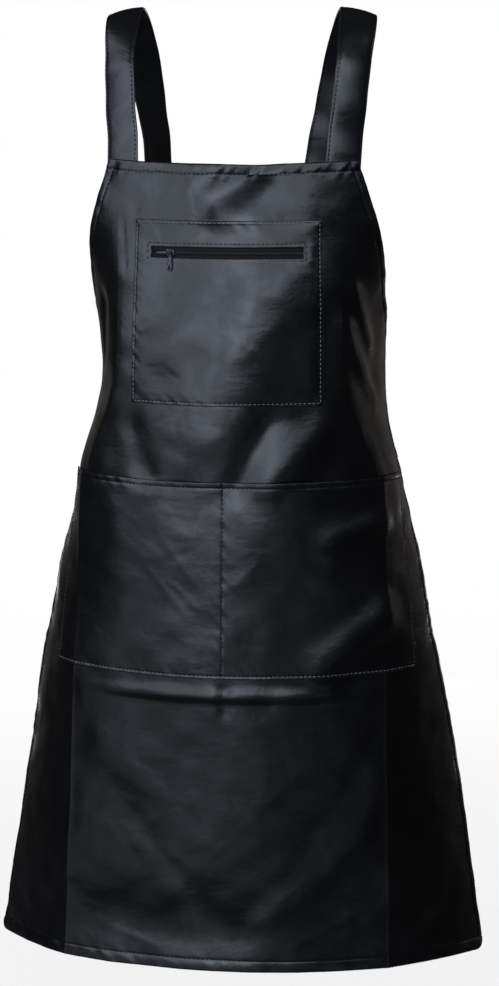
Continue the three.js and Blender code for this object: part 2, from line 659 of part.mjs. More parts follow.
// The zip's hard pieces stand in a frame on the tape, turned with the pocket's surface.
function zipHardware() {
  const group = new THREE.Group();
  const ahead = bodyPoint(SLIDER_AROUND + SURFACE_STEP, ZIP_LINE);
  const astern = bodyPoint(SLIDER_AROUND - SURFACE_STEP, ZIP_LINE);
  const along = ahead.sub(astern).normalize();
  const outward = bodyNormal(SLIDER_AROUND, ZIP_LINE);
  const upward = outward.clone().cross(along).normalize();
  group.quaternion.setFromRotationMatrix(new THREE.Matrix4().makeBasis(along, upward, outward));
  group.position.copy(offSheet(SLIDER_AROUND, ZIP_LINE, tapeStandOff(SLIDER_AROUND, ZIP_LINE)));
  const puller = piece("zip_puller", zipPuller(), ENAMEL);
  puller.position.set(PULLER.shift, 0, PIVOT);
  group.add(piece("zip_slider", zipSlider(), ENAMEL), puller);
  return group;
}

const apron = new THREE.Group();
apron.add(
  piece("front_sheet", frontSheet(), PVC),
  piece("chest_pocket", chestPocket(), PVC),
  piece("hip_pocket", hipPocket(), PVC),
  piece("zip_tape_upper", zipTape(1), ZIP_CLOTH),
  piece("zip_tape_lower", zipTape(-1), ZIP_CLOTH),
  zipHardware(),
  piece("strap_right", shoulderStrap(1), WEBBING),
  piece("strap_left", shoulderStrap(-1), WEBBING),
  piece("back_belt", backBelt(), WEBBING),
);

export default apron;
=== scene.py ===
# %% [markdown]
# # A black PVC bib apron, dressed for a portrait
# The apron is one big sheet of coated cloth that hangs from two shoulder straps and wraps round the hips,
# with a zipped pocket on the chest and a wide one across the hips. The solid model already has its main
# shape. Here every soft piece is made again as a finer sheet with hems, creases and stitches, in the same
# place and in the same frame, so nothing has to be fitted afterwards.

# %% Load the frame
import math

import bpy
import numpy as np
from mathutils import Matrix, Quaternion, Vector


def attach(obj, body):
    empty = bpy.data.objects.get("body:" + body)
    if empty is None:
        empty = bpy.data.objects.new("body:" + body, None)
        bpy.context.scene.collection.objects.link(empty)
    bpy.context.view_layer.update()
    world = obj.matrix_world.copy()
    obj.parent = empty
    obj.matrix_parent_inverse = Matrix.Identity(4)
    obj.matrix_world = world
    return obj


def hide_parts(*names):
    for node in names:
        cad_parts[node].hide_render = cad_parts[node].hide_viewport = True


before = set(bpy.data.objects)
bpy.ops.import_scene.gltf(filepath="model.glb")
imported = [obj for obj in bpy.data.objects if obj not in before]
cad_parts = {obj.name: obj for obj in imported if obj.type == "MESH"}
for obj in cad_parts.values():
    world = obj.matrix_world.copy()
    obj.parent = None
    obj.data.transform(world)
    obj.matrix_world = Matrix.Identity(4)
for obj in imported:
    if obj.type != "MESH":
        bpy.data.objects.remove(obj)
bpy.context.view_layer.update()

MM = 0.001  # the pieces are worked out in millimetres, the scene is in metres

# %% [markdown]
# ## Camera
# The portrait was taken from about three metres, a little to the right of the middle and from just above
# the shoulders. A long lens keeps the tall sheet from narrowing towards the hem. The focal length is known
# in pixels of the portrait, so it is turned into millimetres by the height of the picture.

# %% Camera
PICTURE = (499, 986)
FOCAL_PIXELS = 2941
SENSOR_MM = 36
CAMERA_AT = Vector((0.4204, -2.9341, -0.0169))
LOOKED_AT = Vector((0.0080, 0.0001, -0.4862))

camera = bpy.data.objects.new("camera", bpy.data.cameras.new("camera"))
bpy.context.scene.collection.objects.link(camera)
camera.data.sensor_width = SENSOR_MM
camera.data.lens = SENSOR_MM * FOCAL_PIXELS / max(PICTURE)
camera.location = CAMERA_AT
camera.rotation_mode = "QUATERNION"
camera.rotation_quaternion = (LOOKED_AT - CAMERA_AT).to_track_quat("-Z", "Y")
bpy.context.scene.camera = camera
bpy.context.scene.view_settings.view_transform = "Standard"
print("lens", round(camera.data.lens, 1), "mm at", round((LOOKED_AT - CAMERA_AT).length, 2), "m")

# %% [markdown]
# ## Shader maths as Python
# A finish is a small network of nodes, and most of it is arithmetic on masks. Wiring each Math node by hand
# hides what is being worked out, so one class wraps a socket and lets Python's own operators add the nodes.
# Colours stay out of it: they go through Mix nodes, because a Math node would turn them grey.

# %% Sockets that can be added and multiplied
class Value:
    """A node's output that can be used in sums."""

    def __init__(self, finish, socket):
        self.finish = finish
        self.socket = socket

    def sum(self, operation, first, second):
        return self.finish.node("ShaderNodeMath", {"operation": operation}, {0: first, 1: second})

    def __add__(self, other):
        return self.sum("ADD", self, other)

    def __sub__(self, other):
        return self.sum("SUBTRACT", self, other)

    def __rsub__(self, other):
        return self.sum("SUBTRACT", other, self)

    def __mul__(self, other):
        return self.sum("MULTIPLY", self, other)

    __radd__ = __add__
    __rmul__ = __mul__


print("sums come from", Value.__name__)


# %% Nodes
class Nodes:
    """The nodes of a material, or of the surround."""

    def __init__(self, tree):
        self.tree = tree

    def node(self, kind, settings=None, sockets=None, out=0):
        made = self.tree.nodes.new(kind)
        for key, value in (settings or {}).items():
            setattr(made, key, value)
        for key, value in (sockets or {}).items():
            self.feed(made.inputs[key], value)
        return Value(self, made.outputs[out])

    def feed(self, socket, value):
        if isinstance(value, Value):
            self.tree.links.new(value.socket, socket)
        else:
            socket.default_value = value


print("nodes come from", Nodes.__name__)

# %% Finishes
MIX_COLOURS, MIX_RESULT = (6, 7), 2  # a Mix node's sockets for colours, by number: their names repeat


class Finish(Nodes):
    """A material. Anything that varies over the surface is given to surface()."""

    def __init__(self, name):
        self.material = bpy.data.materials.new(name)
        self.material.use_nodes = True
        super().__init__(self.material.node_tree)
        self.shader = self.tree.nodes["Principled BSDF"]

    def surface(self, **sockets):
        for key, value in sockets.items():
            self.feed(self.shader.inputs[key.replace("_", " ")], value)
        return self.material

    def noise(self, where, size_mm, detail=2.0, roughness=0.5, distortion=0.0):
        sockets = {"Vector": where, "Scale": 1 / (size_mm * MM), "Detail": detail, "Roughness": roughness,
                   "Distortion": distortion}
        return self.node("ShaderNodeTexNoise", None, sockets)

    def stripes(self, where, way, scale, distortion, detail=2.0):
        settings = {"wave_type": "BANDS", "bands_direction": way}
        sockets = {"Vector": where, "Scale": scale, "Distortion": distortion, "Detail": detail}
        return self.node("ShaderNodeTexWave", settings, sockets)

    def ramp(self, value, low, high):
        sockets = {"Value": value, "From Min": low, "From Max": high}
        return self.node("ShaderNodeMapRange", {"interpolation_type": "SMOOTHSTEP"}, sockets)

    def mix(self, share, first, second):
        sockets = {0: share}
        for number, colour in zip(MIX_COLOURS, (first, second)):
            sockets[number] = (*colour, 1) if isinstance(colour, tuple) else colour
        return self.node("ShaderNodeMix", {"data_type": "RGBA"}, sockets, MIX_RESULT)

    def stretched(self, where, x, y, z):
        return self.node("ShaderNodeVectorMath", {"operation": "MULTIPLY"}, {0: where, 1: (x, y, z)})

    def place(self):
        return self.node("ShaderNodeTexCoord", None, None, "Object")

    def carried(self, name, out="Fac"):
        return self.node("ShaderNodeAttribute", {"attribute_name": name}, None, out)

    def bump(self, height_mm):
        return self.node("ShaderNodeBump", None, {"Height": height_mm, "Distance": MM})


print("finishes come from", Finish.__name__)

# %% [markdown]
# ## Stage and light
# A pale floor lies well below the hem and fades out into a white surround, so no horizon cuts the picture.
# Black vinyl shows its lights more than its own colour, so each panel is placed for what it draws. A large,
# slightly blue soft panel stands in front to the left and a second one higher to the right, both rolled:
# their lower edges give the chest its slanting shade. Low panels light the skirt, small ones the belly and
# the two straps, and weak warm ones from behind draw the turned-back flanks. A low one behind shows the
# inside. The room itself stays dim.

# %% Floor
FLOOR_HEIGHT = -1.13
FLOOR_REACH = 2.6
FLOOR_MIDDLE = 0.3  # behind the apron
FLOOR_SIDES = 64
FLOOR_SHOWS = 0.14  # how much of the floor shows at its middle
FLOOR_FADE = (0.1, 0.95 * FLOOR_REACH)
FLOOR_SHADES = ((0.86, 0.86, 0.85), (0.9, 0.9, 0.89))

floor_finish = Finish("pale_floor")
from_middle = floor_finish.node("ShaderNodeVectorMath", {"operation": "LENGTH"},
                                {0: floor_finish.place()}, "Value")
speckle = floor_finish.noise(floor_finish.place(), 14, detail=4.0)
floor_finish.surface(
    Base_Color=floor_finish.mix(speckle, *FLOOR_SHADES),
    Roughness=0.6 + 0.1 * speckle,
    Alpha=FLOOR_SHOWS - FLOOR_SHOWS * floor_finish.ramp(from_middle, *FLOOR_FADE),
)
turns = np.linspace(0, 2 * math.pi, FLOOR_SIDES, endpoint=False)
disc = bpy.data.meshes.new("floor")
disc.from_pydata([(FLOOR_REACH * math.cos(t), FLOOR_REACH * math.sin(t), 0) for t in turns], [],
                 [list(range(FLOOR_SIDES))])
disc.materials.append(floor_finish.material)
floor = bpy.data.objects.new("floor", disc)
floor.location = (0, FLOOR_MIDDLE, FLOOR_HEIGHT)
bpy.context.scene.collection.objects.link(floor)
print("floor at", FLOOR_HEIGHT, "m")

# %% Surround
ROOM_COLOUR, ROOM_LIGHT = (0.9, 0.86, 0.82, 1), 0.02

world = bpy.data.worlds.new("studio")
bpy.context.scene.world = world
world.use_nodes = True
surround = Nodes(world.node_tree)
surround.tree.nodes.remove(surround.tree.nodes["Background"])
white = surround.node("ShaderNodeBackground", None, {"Color": (1, 1, 1, 1)})
room = surround.node("ShaderNodeBackground", None, {"Color": ROOM_COLOUR, "Strength": ROOM_LIGHT})
to_the_eye = surround.node("ShaderNodeLightPath", None, None, "Is Camera Ray")
either = surround.node("ShaderNodeMixShader", None, {"Fac": to_the_eye, 1: room, 2: white})
surround.feed(surround.tree.nodes["World Output"].inputs["Surface"], either)
print("surround white to the eye, dim to the apron")

# %% Panels
CHEST_MIDDLE = Vector((0, 0, -0.3))
COOL, WARM = (0.76, 0.84, 1.0), (1.0, 0.92, 0.85)
# name, azimuth from the front to the right, elevation, distance, width, height, roll, watts, colour
PANELS = (
    ("key", -37, 15.5, 1.55, 2.18, 1.28, 14, 17.2, COOL),
    ("key_right", 17, 27, 1.5, 1.75, 0.9, -38, 10.5, COOL),
    ("low", -29, -20, 2.0, 2.8, 1.0, 0, 3.7, COOL),
    ("low_right", 28, -19, 2.0, 1.0, 0.5, 0, 0.3, COOL),
    ("middle", -5, 3.5, 1.6, 0.45, 0.3, 0, 0.6, COOL),
    ("left_edge", -147, 2, 2.0, 1.4, 1.8, 0, 0.8, WARM),
    ("right_edge", 139, 2, 2.0, 1.8, 1.8, 0, 0.7, WARM),
    ("right_core", 147, 2, 2.0, 0.9, 1.5, 0, 0.3, WARM),
    ("back_low", 180, -20, 2.2, 2.4, 0.4, 0, 10, (0.95, 0.97, 1.0)),
    ("right_strap", 58, 33, 1.6, 0.5, 0.5, 0, 0.8, COOL),
    ("left_strap", -83, 32, 1.6, 0.5, 0.45, 0, 1.1, COOL),
    ("right_streak", 117, 8, 2.0, 0.14, 1.1, 0, 0.3, (1.0, 0.94, 0.88)),
)


def panel(name, azimuth, elevation, distance, width, height, roll, power, colour):
    """A soft light that faces the chest, unseen by the camera."""
    light = bpy.data.lights.new(name, "AREA")
    light.shape = "RECTANGLE"
    light.size = width
    light.size_y = height
    light.energy = power
    light.color = colour
    holder = bpy.data.objects.new(name, light)
    bpy.context.scene.collection.objects.link(holder)
    turn, lift = math.radians(azimuth), math.radians(elevation)
    way = Vector((math.sin(turn) * math.cos(lift), -math.cos(turn) * math.cos(lift), math.sin(lift)))
    holder.location = CHEST_MIDDLE + way * distance
    holder.rotation_mode = "QUATERNION"
    aim = (-way).to_track_quat("-Z", "Y")
    aim.rotate(Quaternion(-way, math.radians(roll)))
    holder.rotation_quaternion = aim
    holder.visible_camera = False


for row in PANELS:
    panel(*row)
print(len(PANELS), "panels")

# %% [markdown]
# ## The sheet as arcs
# The front sheet has no thickness to speak of, so its shape is a set of sections: at each height the right
# half is a front arc from the middle to an ironed-in crease, and a side arc from the crease to the edge.
# A place on the sheet is then two numbers, how far round from the middle and how high, and these are also
# its coordinates on the flat, uncut cloth. Every seam and fold below is drawn in those two numbers.

# %% Sections
HEM_BOTTOM, HEM_CORNER = -943, 13
HIP_SKEW = 0.06  # share of the side arc by which the hip pocket sits to the right
# heights and lengths in millimetres, turns in degrees from facing front
SECTION_COLUMNS = ("height", "front", "crease_x", "turn_in", "turn_out", "side_arc", "edge_turn",
                   "pocket_share")
SECTIONS = np.array((
    (-150, -95, 112, 27, 29, 15, 33, 0.2),
    (-203, -106, 112, 29, 32, 37, 40, 0.3),
    (-250, -113, 112, 29, 41, 61, 65, 0.35),
    (-290, -117, 112, 29, 51, 83, 79, 0.4),
    (-330, -120, 112, 28.5, 56, 110, 90, 0.45),
    (-370, -122, 116, 31, 58.5, 122, 96, 0.55),
    (-410, -125, 131, 38.5, 61, 102, 100, 0.6),
    (-457, -129, 147, 44.5, 60, 78, 100, 0.47),
    (-560, -136, 153, 41, 51, 79, 78, 0.46),
    (-650, -141, 157, 36, 46, 93, 72, 0.4),
    (-760, -146, 160, 31, 44, 123, 73, 0.3),
    (-943, -150, 165, 24, 37, 140, 66, 0.2),
))


def smooth_step(t, start, leave, end, arrive):
    """A cubic from start to end, with its slopes there, as t goes from 0 to 1."""
    return ((2 * t**3 - 3 * t**2 + 1) * start + (t**3 - 2 * t**2 + t) * leave
            + (3 * t**2 - 2 * t**3) * end + (t**3 - t**2) * arrive)


def section(name, height):
    """One column of the sections at any height, on a smooth curve through the rows."""
    heights = SECTIONS[:, 0]
    column = SECTIONS[:, SECTION_COLUMNS.index(name)]
    last = len(heights) - 1
    low = np.clip(np.searchsorted(-heights, -np.asarray(height, float), "right") - 1, 0, last - 1)
    before, high, after = np.maximum(low - 1, 0), low + 1, np.minimum(low + 2, last)
    span = heights[high] - heights[low]
    t = (height - heights[low]) / span
    leave = (column[high] - column[before]) / (heights[high] - heights[before]) * span
    arrive = (column[after] - column[low]) / (heights[after] - heights[low]) * span
    return smooth_step(t, column[low], leave, column[high], arrive)


def crease_line(height):
    """How far round the ironed-in crease lies."""
    turn = np.radians(section("turn_in", height))
    return section("crease_x", height) / np.sin(turn) * turn


def edge_line(height):
    """How far round the sheet's side edge lies. The hem's corners are rounded."""
    in_corner = np.clip(1 - (height - HEM_BOTTOM) / HEM_CORNER, 0, 1)
    cut_off = HEM_CORNER * (1 - np.sqrt(1 - in_corner**2))
    return crease_line(height) + section("side_arc", height) - cut_off


def pocket_line(height, side):
    """How far round the hip pocket's edge lies. side is 1 on the right, -1 on the left."""
    share = section("pocket_share", height) + side * HIP_SKEW
    return crease_line(height) + share * section("side_arc", height)


for name, height in (("skirt", -900), ("bib's top", -150)):
    print("round the", name, round(2 * float(edge_line(height))), "mm")


# %% From the flat sheet to the body
CREASE_TAPS = ((-1, 0.06), (-0.5, 0.24), (0, 0.4), (0.5, 0.24), (1, 0.06))  # share of the softness, weight
CREASE_SHARP, CREASE_ROUND = 1, 13  # how far the crease is rounded where it is ironed in, and more above
IRONED_FROM, IRONED_FADE = -430, 120
NEARBY = 2.0  # directions are taken between points this far to each side


def ease(value):
    """From 0 to 1 with a soft start and a soft end."""
    value = np.clip(value, 0, 1)
    return value * value * (3 - 2 * value)


def crease_soft(height):
    """The crease is rounded over this distance to each side: it is ironed in below the chest only."""
    return CREASE_SHARP + CREASE_ROUND * ease((height - IRONED_FROM) / IRONED_FADE)


def spread(around, height):
    """Both as arrays of floats of one shape."""
    return np.broadcast_arrays(np.asarray(around, float), np.asarray(height, float))


def unit(ways):
    """Ways of length one."""
    return ways / np.linalg.norm(ways, axis=-1, keepdims=True)


def arcs(around, height):
    """Points of the front arc and the side arc, with a sharp crease where they meet."""
    turn_in = np.radians(section("turn_in", height))
    turn_out = np.radians(section("turn_out", height))
    front_radius = section("crease_x", height) / np.sin(turn_in)
    side_radius = section("side_arc", height) / (np.radians(section("edge_turn", height)) - turn_out)
    arc = np.abs(around)
    crease = front_radius * turn_in
    near = np.minimum(arc, crease) / front_radius
    far = turn_out + np.maximum(arc - crease, 0) / side_radius
    x = front_radius * np.sin(near) + side_radius * (np.sin(far) - np.sin(turn_out))
    y = section("front", height) + front_radius * (1 - np.cos(near))
    y = y + side_radius * (np.cos(turn_out) - np.cos(far))
    return np.stack([np.sign(around) * x, y, height + 0 * x], -1)


def skin(around, height):
    """The sheet's outer face without its folds, with the crease rounded."""
    around, height = spread(around, height)
    soft = crease_soft(height)
    return sum(weight * arcs(around + share * soft, height) for share, weight in CREASE_TAPS)


def skin_out(around, height):
    """Outward direction of the sheet without its folds."""
    across = skin(around + NEARBY, height) - skin(around - NEARBY, height)
    down = skin(around, height - NEARBY) - skin(around, height + NEARBY)
    return unit(np.cross(down, across))


print("front of the bib at", np.round(skin(0.0, -250.0), 1).tolist())

# %% [markdown]
# ## Folds and creases
# Coated cloth remembers how it was packed: broad soft folds, and fine sharp creases where it was pressed.
# A fold is a bell-shaped ridge along a line on the flat sheet. A crease has a pointed profile instead, so
# the light breaks along it. Many tiny creases are scattered by a seeded generator, which gives the same
# cloth on every run, and a slow waviness keeps large areas from looking like a machined panel.

# %% Folds
# from (around, height) to (around, height), reach on the right hand of one who walks that way, seen from the
# front, reach on their left hand, rise
FOLDS = (
    (-172, -668, 172, -668, 6, 12, 2.8),
    (3, -650, 3, -694, 9, 9, -2),
    (-130, -745, 10, -915, 20, 20, -1.8),
    (-150, -700, -25, -800, 20, 20, 1.4),
    (165, -785, 25, -912, 18, 18, 1.8),
    (168, -700, 70, -850, 24, 24, -1.6),
    (52, -138, -36, -200, 26, 24, -5.5),
    (75, -215, -45, -470, 70, 60, 7),
    (118, -388, 28, -474, 26, 26, 5),
    (52, -375, 2, -482, 20, 20, -4),
    (-108, -385, -72, -475, 20, 20, -2.8),
    (80, -520, 185, -492, 20, 22, 2.4),
    (72, -655, 190, -575, 26, 34, 3.8),
    (122, -255, 178, -345, 13, 13, 3),
    (112, -290, 182, -400, 15, 15, 3),
    (-150, -265, -165, -365, 14, 14, -3.5),
    (212, -262, 212, -410, 40, 20, 3),
    (-190, -896, 75, -912, 30, 46, -4.5),
)
# the same for two swellings of the hip pocket that the solids show only in part
SWELLS = (
    (78, -655, 185, -575, 26, 28, 4.2),
    (85, -522, 185, -494, 18, 18, 2.4),
)
CREASES = (
    (-165, -675, 165, -675, 3, 3, -0.5),
    (-128, -752, -30, -862, 7, 7, -0.5),
    (140, -765, 30, -905, 7, 7, 0.6),
    (-60, -880, 120, -700, 6, 6, 0.35),
    (-20, -300, 60, -345, 8, 8, 0.5),
    (-95, -520, -25, -600, 9, 9, 0.6),
    (-70, -500, -15, -572, 8, 8, 0.5),
    (8, -560, 40, -530, 8, 8, 0.6),
    (30, -610, 150, -560, 10, 10, 0.4),
    (-150, -900, -60, -925, 8, 8, 0.9),
    (60, -925, 150, -880, 8, 8, 0.7),
    (102, -831, 20, -912, 2.4, 2.4, 0.55),
    (88, -838, 30, -898, 2.2, 2.2, -0.4),
    (-127, -784, -69, -858, 3, 3, -0.6),
    (-158, -886, -112, -896, 2.2, 2.2, 0.45),
    (-150, -898, -120, -890, 2, 2, 0.35),
    (-62, -548, -22, -580, 2.6, 2.6, 0.7),
    (-20, -582, -42, -572, 2.2, 2.2, 0.5),
    (6, -560, 36, -548, 2.4, 2.4, 0.6),
    (-154, -668, -154, -690, 2.2, 2.2, 0.7),
    (126, -672, 130, -692, 2.2, 2.2, 0.6),
    (92, -690, 90, -728, 2.4, 2.4, 0.4),
    (-84, -160, -98, -202, 8, 8, -1.1),
    (-44, -160, -28, -198, 9, 9, 0.9),
    (-112, -196, -106, -262, 6, 6, -1.0),
)
print(len(FOLDS) + len(SWELLS), "folds and swellings,", len(CREASES), "creases")

# %% Ridges along lines
FOLD_ENDS = 0.25  # share of a line over which it rises and falls


def along_lines(lines, around, height, profile):
    """Lift of the sheet along lines: profile gives its fall with the distance, in reaches."""
    rise = np.zeros(np.broadcast(around, height).shape)
    for a, b, c, d, right_hand, left_hand, lift in lines:
        length = math.hypot(c - a, d - b)
        share = ((around - a) * (c - a) + (height - b) * (d - b)) / length**2
        away = ((around - a) * (d - b) - (height - b) * (c - a)) / length
        away = np.where(away > 0, away / right_hand, -away / left_hand)
        rise += lift * ease(share / FOLD_ENDS) * ease((1 - share) / FOLD_ENDS) * profile(away)
    return rise


print("a ridge takes", FOLD_ENDS, "of its line to rise, and as much to fall")

# %% Fine creases
FINE_REACH, FINE_RISE = (2.5, 5), (0.12, 0.34)
FINE_LENGTHS = (0.5, 1.0)  # of the longest in a patch


def scattered(seed, count, box, length, sway):
    """Short fine creases in a box on the flat sheet, at random places and turned at random from level."""
    pick = np.random.default_rng(seed)
    lines = []
    for _ in range(count):
        x, z = pick.uniform(box[0], box[1]), pick.uniform(box[2], box[3])
        turn = pick.normal(0, sway)
        half = pick.uniform(*FINE_LENGTHS) * length / 2
        step = (half * math.cos(turn), half * math.sin(turn))
        reach = pick.uniform(*FINE_REACH)
        rise = pick.choice([-1, 1]) * pick.uniform(*FINE_RISE)
        lines.append((x - step[0], z - step[1], x + step[0], z + step[1], reach, reach, rise))
    return tuple(lines)


# seed, count, box as two arounds and two heights, longest length, sway in radians
FINE_PATCHES = (
    (3, 34, (-85, 85, -375, -250), 34, 0.35),
    (5, 60, (-165, 165, -645, -480), 46, 0.5),
    (7, 60, (-165, 165, -930, -700), 60, 0.8),
    (9, 26, (-110, 110, -455, -385), 40, 0.9),
    (11, 22, (-110, 110, -200, -160), 26, 1.2),
    (13, 30, (-290, -165, -920, -480), 60, 1.4),
    (15, 30, (165, 290, -920, -480), 60, 1.4),
)
FINE_CREASES = tuple(line for patch in FINE_PATCHES for line in scattered(*patch))
print(len(FINE_CREASES), "fine creases")

# %% Waviness
WAVE_LENGTHS = (0.7, 1.5)  # of the length that is asked for


def waves(seed, length, count=10):
    """A slow seeded waviness, as a function of the place on the flat sheet, between about -1 and 1."""
    pick = np.random.default_rng(seed)
    turn = pick.uniform(0, 2 * math.pi, count)
    size = 2 * math.pi / (length * pick.uniform(*WAVE_LENGTHS, count))
    phase = pick.uniform(0, 2 * math.pi, count)

    def at(around, height):
        total = np.zeros(np.broadcast(around, height).shape)
        for t, k, p in zip(turn, size, phase):
            total += np.sin(k * (around * math.cos(t) + height * math.sin(t)) + p)
        return total / math.sqrt(count)

    return at


slow_wave = waves(seed=21, length=120)
quick_wave = waves(seed=22, length=42)
print("the slow wave is", round(float(slow_wave(0.0, -300.0)), 2), "at the chest's middle")

# %% The folded sheet
ZIP_LINE = -233.75
ZIP_FLAT_HALF, ZIP_FLAT_REACH = 105, 18  # beside the zip the cloth is held flat
SLOW_RISE, QUICK_RISE = 0.7, 0.32


def relief(around, height):
    """How far folds, creases and waviness lift the sheet, in millimetres."""
    broad = along_lines(FOLDS + SWELLS, around, height, lambda d: np.exp(-2 * d**2))
    fine = along_lines(CREASES + FINE_CREASES, around, height, lambda d: np.exp(-2 * d))
    fine = fine + SLOW_RISE * slow_wave(around, height) + QUICK_RISE * quick_wave(around, height)
    by_zip = np.exp(-((height - ZIP_LINE) / ZIP_FLAT_REACH) ** 2 - (around / ZIP_FLAT_HALF) ** 4)
    return broad + fine * (1 - by_zip)


def off_skin(around, height, distance):
    """A point at a distance off the folded sheet."""
    around, height = spread(around, height)
    lift = relief(around, height) + distance
    return skin(around, height) + lift[..., None] * skin_out(around, height)


print("the chest's middle is lifted by", round(float(relief(0.0, -300.0)), 2), "mm")

# %% [markdown]
# ## A closed sheet from a grid
# A sheet in a library of parts has two sides and a rim, or it vanishes when seen edge-on. The outer face and
# the inner face are two grids of the same size. Wherever a cell has no neighbour, also round a hole, three
# more rows of points bulge outwards between them, so that each edge is rounded like a turned hem.

# %% New pieces
def new_piece(name, points, faces, finishes, marks=None, face_finish=None):
    """A mesh object from points in millimetres. marks are values carried by the points."""
    mesh = bpy.data.meshes.new(name)
    mesh.from_pydata((np.asarray(points) * MM).tolist(), [], faces)
    for finish in finishes:
        mesh.materials.append(finish)
    if face_finish is not None:
        mesh.polygons.foreach_set("material_index", np.asarray(face_finish, np.int32))
    for key, values in (marks or {}).items():
        values = np.asarray(values, np.float32)
        flat = values.ndim == 1
        layer = mesh.attributes.new(key, "FLOAT" if flat else "FLOAT_VECTOR", "POINT")
        layer.data.foreach_set("value" if flat else "vector", values.ravel())
    mesh.shade_smooth()
    mesh.update()
    piece = bpy.data.objects.new(name, mesh)
    bpy.context.scene.collection.objects.link(piece)
    return piece


print("pieces come from", new_piece.__name__)

# %% Closed sheets
RIM = ((0.15, 0.35), (0.5, 0.5), (0.85, 0.35))  # share of the way to the inner face, bulge
RIM_WEAR = 0.6
TINY = 1e-9  # keeps a way of no length from dividing by zero


def rim_ways(points, layer, open_edges):
    """Outward direction at each point of the open edges. The inner face's points are a layer further on."""
    ways = {}
    for a, b in open_edges:
        way = np.cross(points[b] - points[a], points[a] - points[a + layer])
        way = way / (np.linalg.norm(way) + TINY)
        for end in (a, b):
            ways[end] = ways.get(end, 0) + way
    return {end: ways[end] / (np.linalg.norm(ways[end]) + TINY) for end in sorted(ways)}


def closed_sheet(name, face, back, finishes, flat, worn, keep=None, back_finish=None):
    """face and back are grids of points, rows downwards and columns to the right."""
    rows, columns = face.shape[:2]
    keep = np.ones((rows - 1, columns - 1), bool) if keep is None else keep
    number = np.arange(rows * columns).reshape(rows, columns)
    cell_row, cell_column = np.nonzero(keep)
    quads = np.stack([number[cell_row, cell_column], number[cell_row + 1, cell_column],
                      number[cell_row + 1, cell_column + 1], number[cell_row, cell_column + 1]], 1)
    layer = rows * columns
    edges = {(a, b) for quad in quads.tolist() for a, b in zip(quad, quad[1:] + quad[:1])}
    open_edges = sorted((a, b) for a, b in edges if (b, a) not in edges)
    points = np.concatenate([face.reshape(-1, 3), back.reshape(-1, 3)])
    outward = rim_ways(points, layer, open_edges)
    bulges, extra = {}, []
    for end, way in outward.items():
        through = points[end + layer] - points[end]
        bulges[end] = [2 * layer + len(extra) + k for k in range(len(RIM))]
        extra += [points[end] + share * through + way * out * np.linalg.norm(through) for share, out in RIM]
    faces = quads.tolist() + (quads[:, ::-1] + layer).tolist()
    inner = np.ones(len(quads), int) if back_finish is None else back_finish[cell_row, cell_column]
    which = [0] * len(quads) + inner.tolist()
    for a, b in open_edges:
        chain_a = [a, *bulges[a], a + layer]
        chain_b = [b, *bulges[b], b + layer]
        for k in range(len(chain_a) - 1):
            faces.append([chain_b[k], chain_a[k], chain_a[k + 1], chain_b[k + 1]])
            which.append(0)
    used = np.unique(np.concatenate([np.asarray(f) for f in faces]))
    points = np.concatenate([points, np.asarray(extra)])
    ends = list(outward)
    flat = np.concatenate([flat.reshape(-1, 3)] * 2 + [np.repeat(flat.reshape(-1, 3)[ends], len(RIM), 0)])
    worn = np.concatenate([worn.ravel(), 0 * worn.ravel(), np.full(len(ends) * len(RIM), RIM_WEAR)])
    place = np.full(len(points), -1)
    place[used] = np.arange(len(used))
    faces = [[int(place[p]) for p in f] for f in faces]
    marks = {"flat": flat[used] * MM, "worn": worn[used]}
    return new_piece(name, points[used], faces, finishes, marks, which)


def flat_places(around, height):
    """Places on the flat cloth, as the finishes read them."""
    return np.stack([around, height, 0 * around], -1)


print("rim rows:", len(RIM))

# %% [markdown]
# ## Finishes of the cloth
# The coating is a black skin with a very fine leather-like grain, rubbed a little lighter and smoother on its
# edges. The grain is a cell texture of about a millimetre, over it lie a softer pebble, level wrinkles and a
# faint crumple that breaks up the reflections. Handling leaves hazy smears, which are a thin dull coat that
# comes and goes. The straps' coating is painted a shade greyer than the sheet's, as a painted sheen. The
# inner
# side is the bare knitted backing: matt, charcoal, with ribs. All seams are sewn with one black thread; where
# the stitches catch the light, a grey and a dull copy of it are painted highlights, which differ from it in
# shade and shine alone. All of these are built from the place on the piece, so they need no unwrapping.

# %% Coated face
GRAIN_SIZE = 0.9  # millimetres, as the sizes of noise
RUBBED_BLACK = (0.015, 0.0155, 0.017)


def coated(name, black, dusty, ior):
    """The coating, from black to dusty in clouds."""
    coat = Finish(name)
    here = coat.place()
    cells = coat.node("ShaderNodeTexVoronoi", {"feature": "SMOOTH_F1"},
                      {"Vector": here, "Scale": 1 / (GRAIN_SIZE * MM), "Smoothness": 0.6})
    pebble = coat.noise(here, 5, detail=3.0, roughness=0.55)
    crumple = coat.noise(coat.stretched(here, 0.8, 0.8, 1.3), 26, detail=3.0, distortion=0.6)
    wrinkle = coat.noise(coat.stretched(here, 0.16, 0.16, 1), 6, distortion=0.3)
    cloud = coat.noise(here, 70)
    haze = coat.noise(coat.stretched(here, 1, 1, 0.7), 42, detail=4.0, roughness=0.6, distortion=0.8)
    smear = coat.ramp(haze, 0.42, 0.7)
    rubbed = coat.carried("worn") * coat.ramp(pebble, 0.35, 0.7)
    base = coat.mix(0.5 * coat.ramp(cloud, 0.45, 0.8), black, dusty)
    coat.surface(
        Base_Color=coat.mix(rubbed, base, RUBBED_BLACK),
        Roughness=0.22 + 0.09 * cloud + 0.06 * pebble - 0.03 * rubbed,
        Coat_Weight=0.06 + 0.42 * smear * (0.6 + 0.8 * pebble),
        Normal=coat.bump(0.05 * cells + 0.11 * pebble + 0.09 * wrinkle + 0.6 * crumple),
        Coat_Roughness=0.26,
        IOR=ior,
    )
    return coat


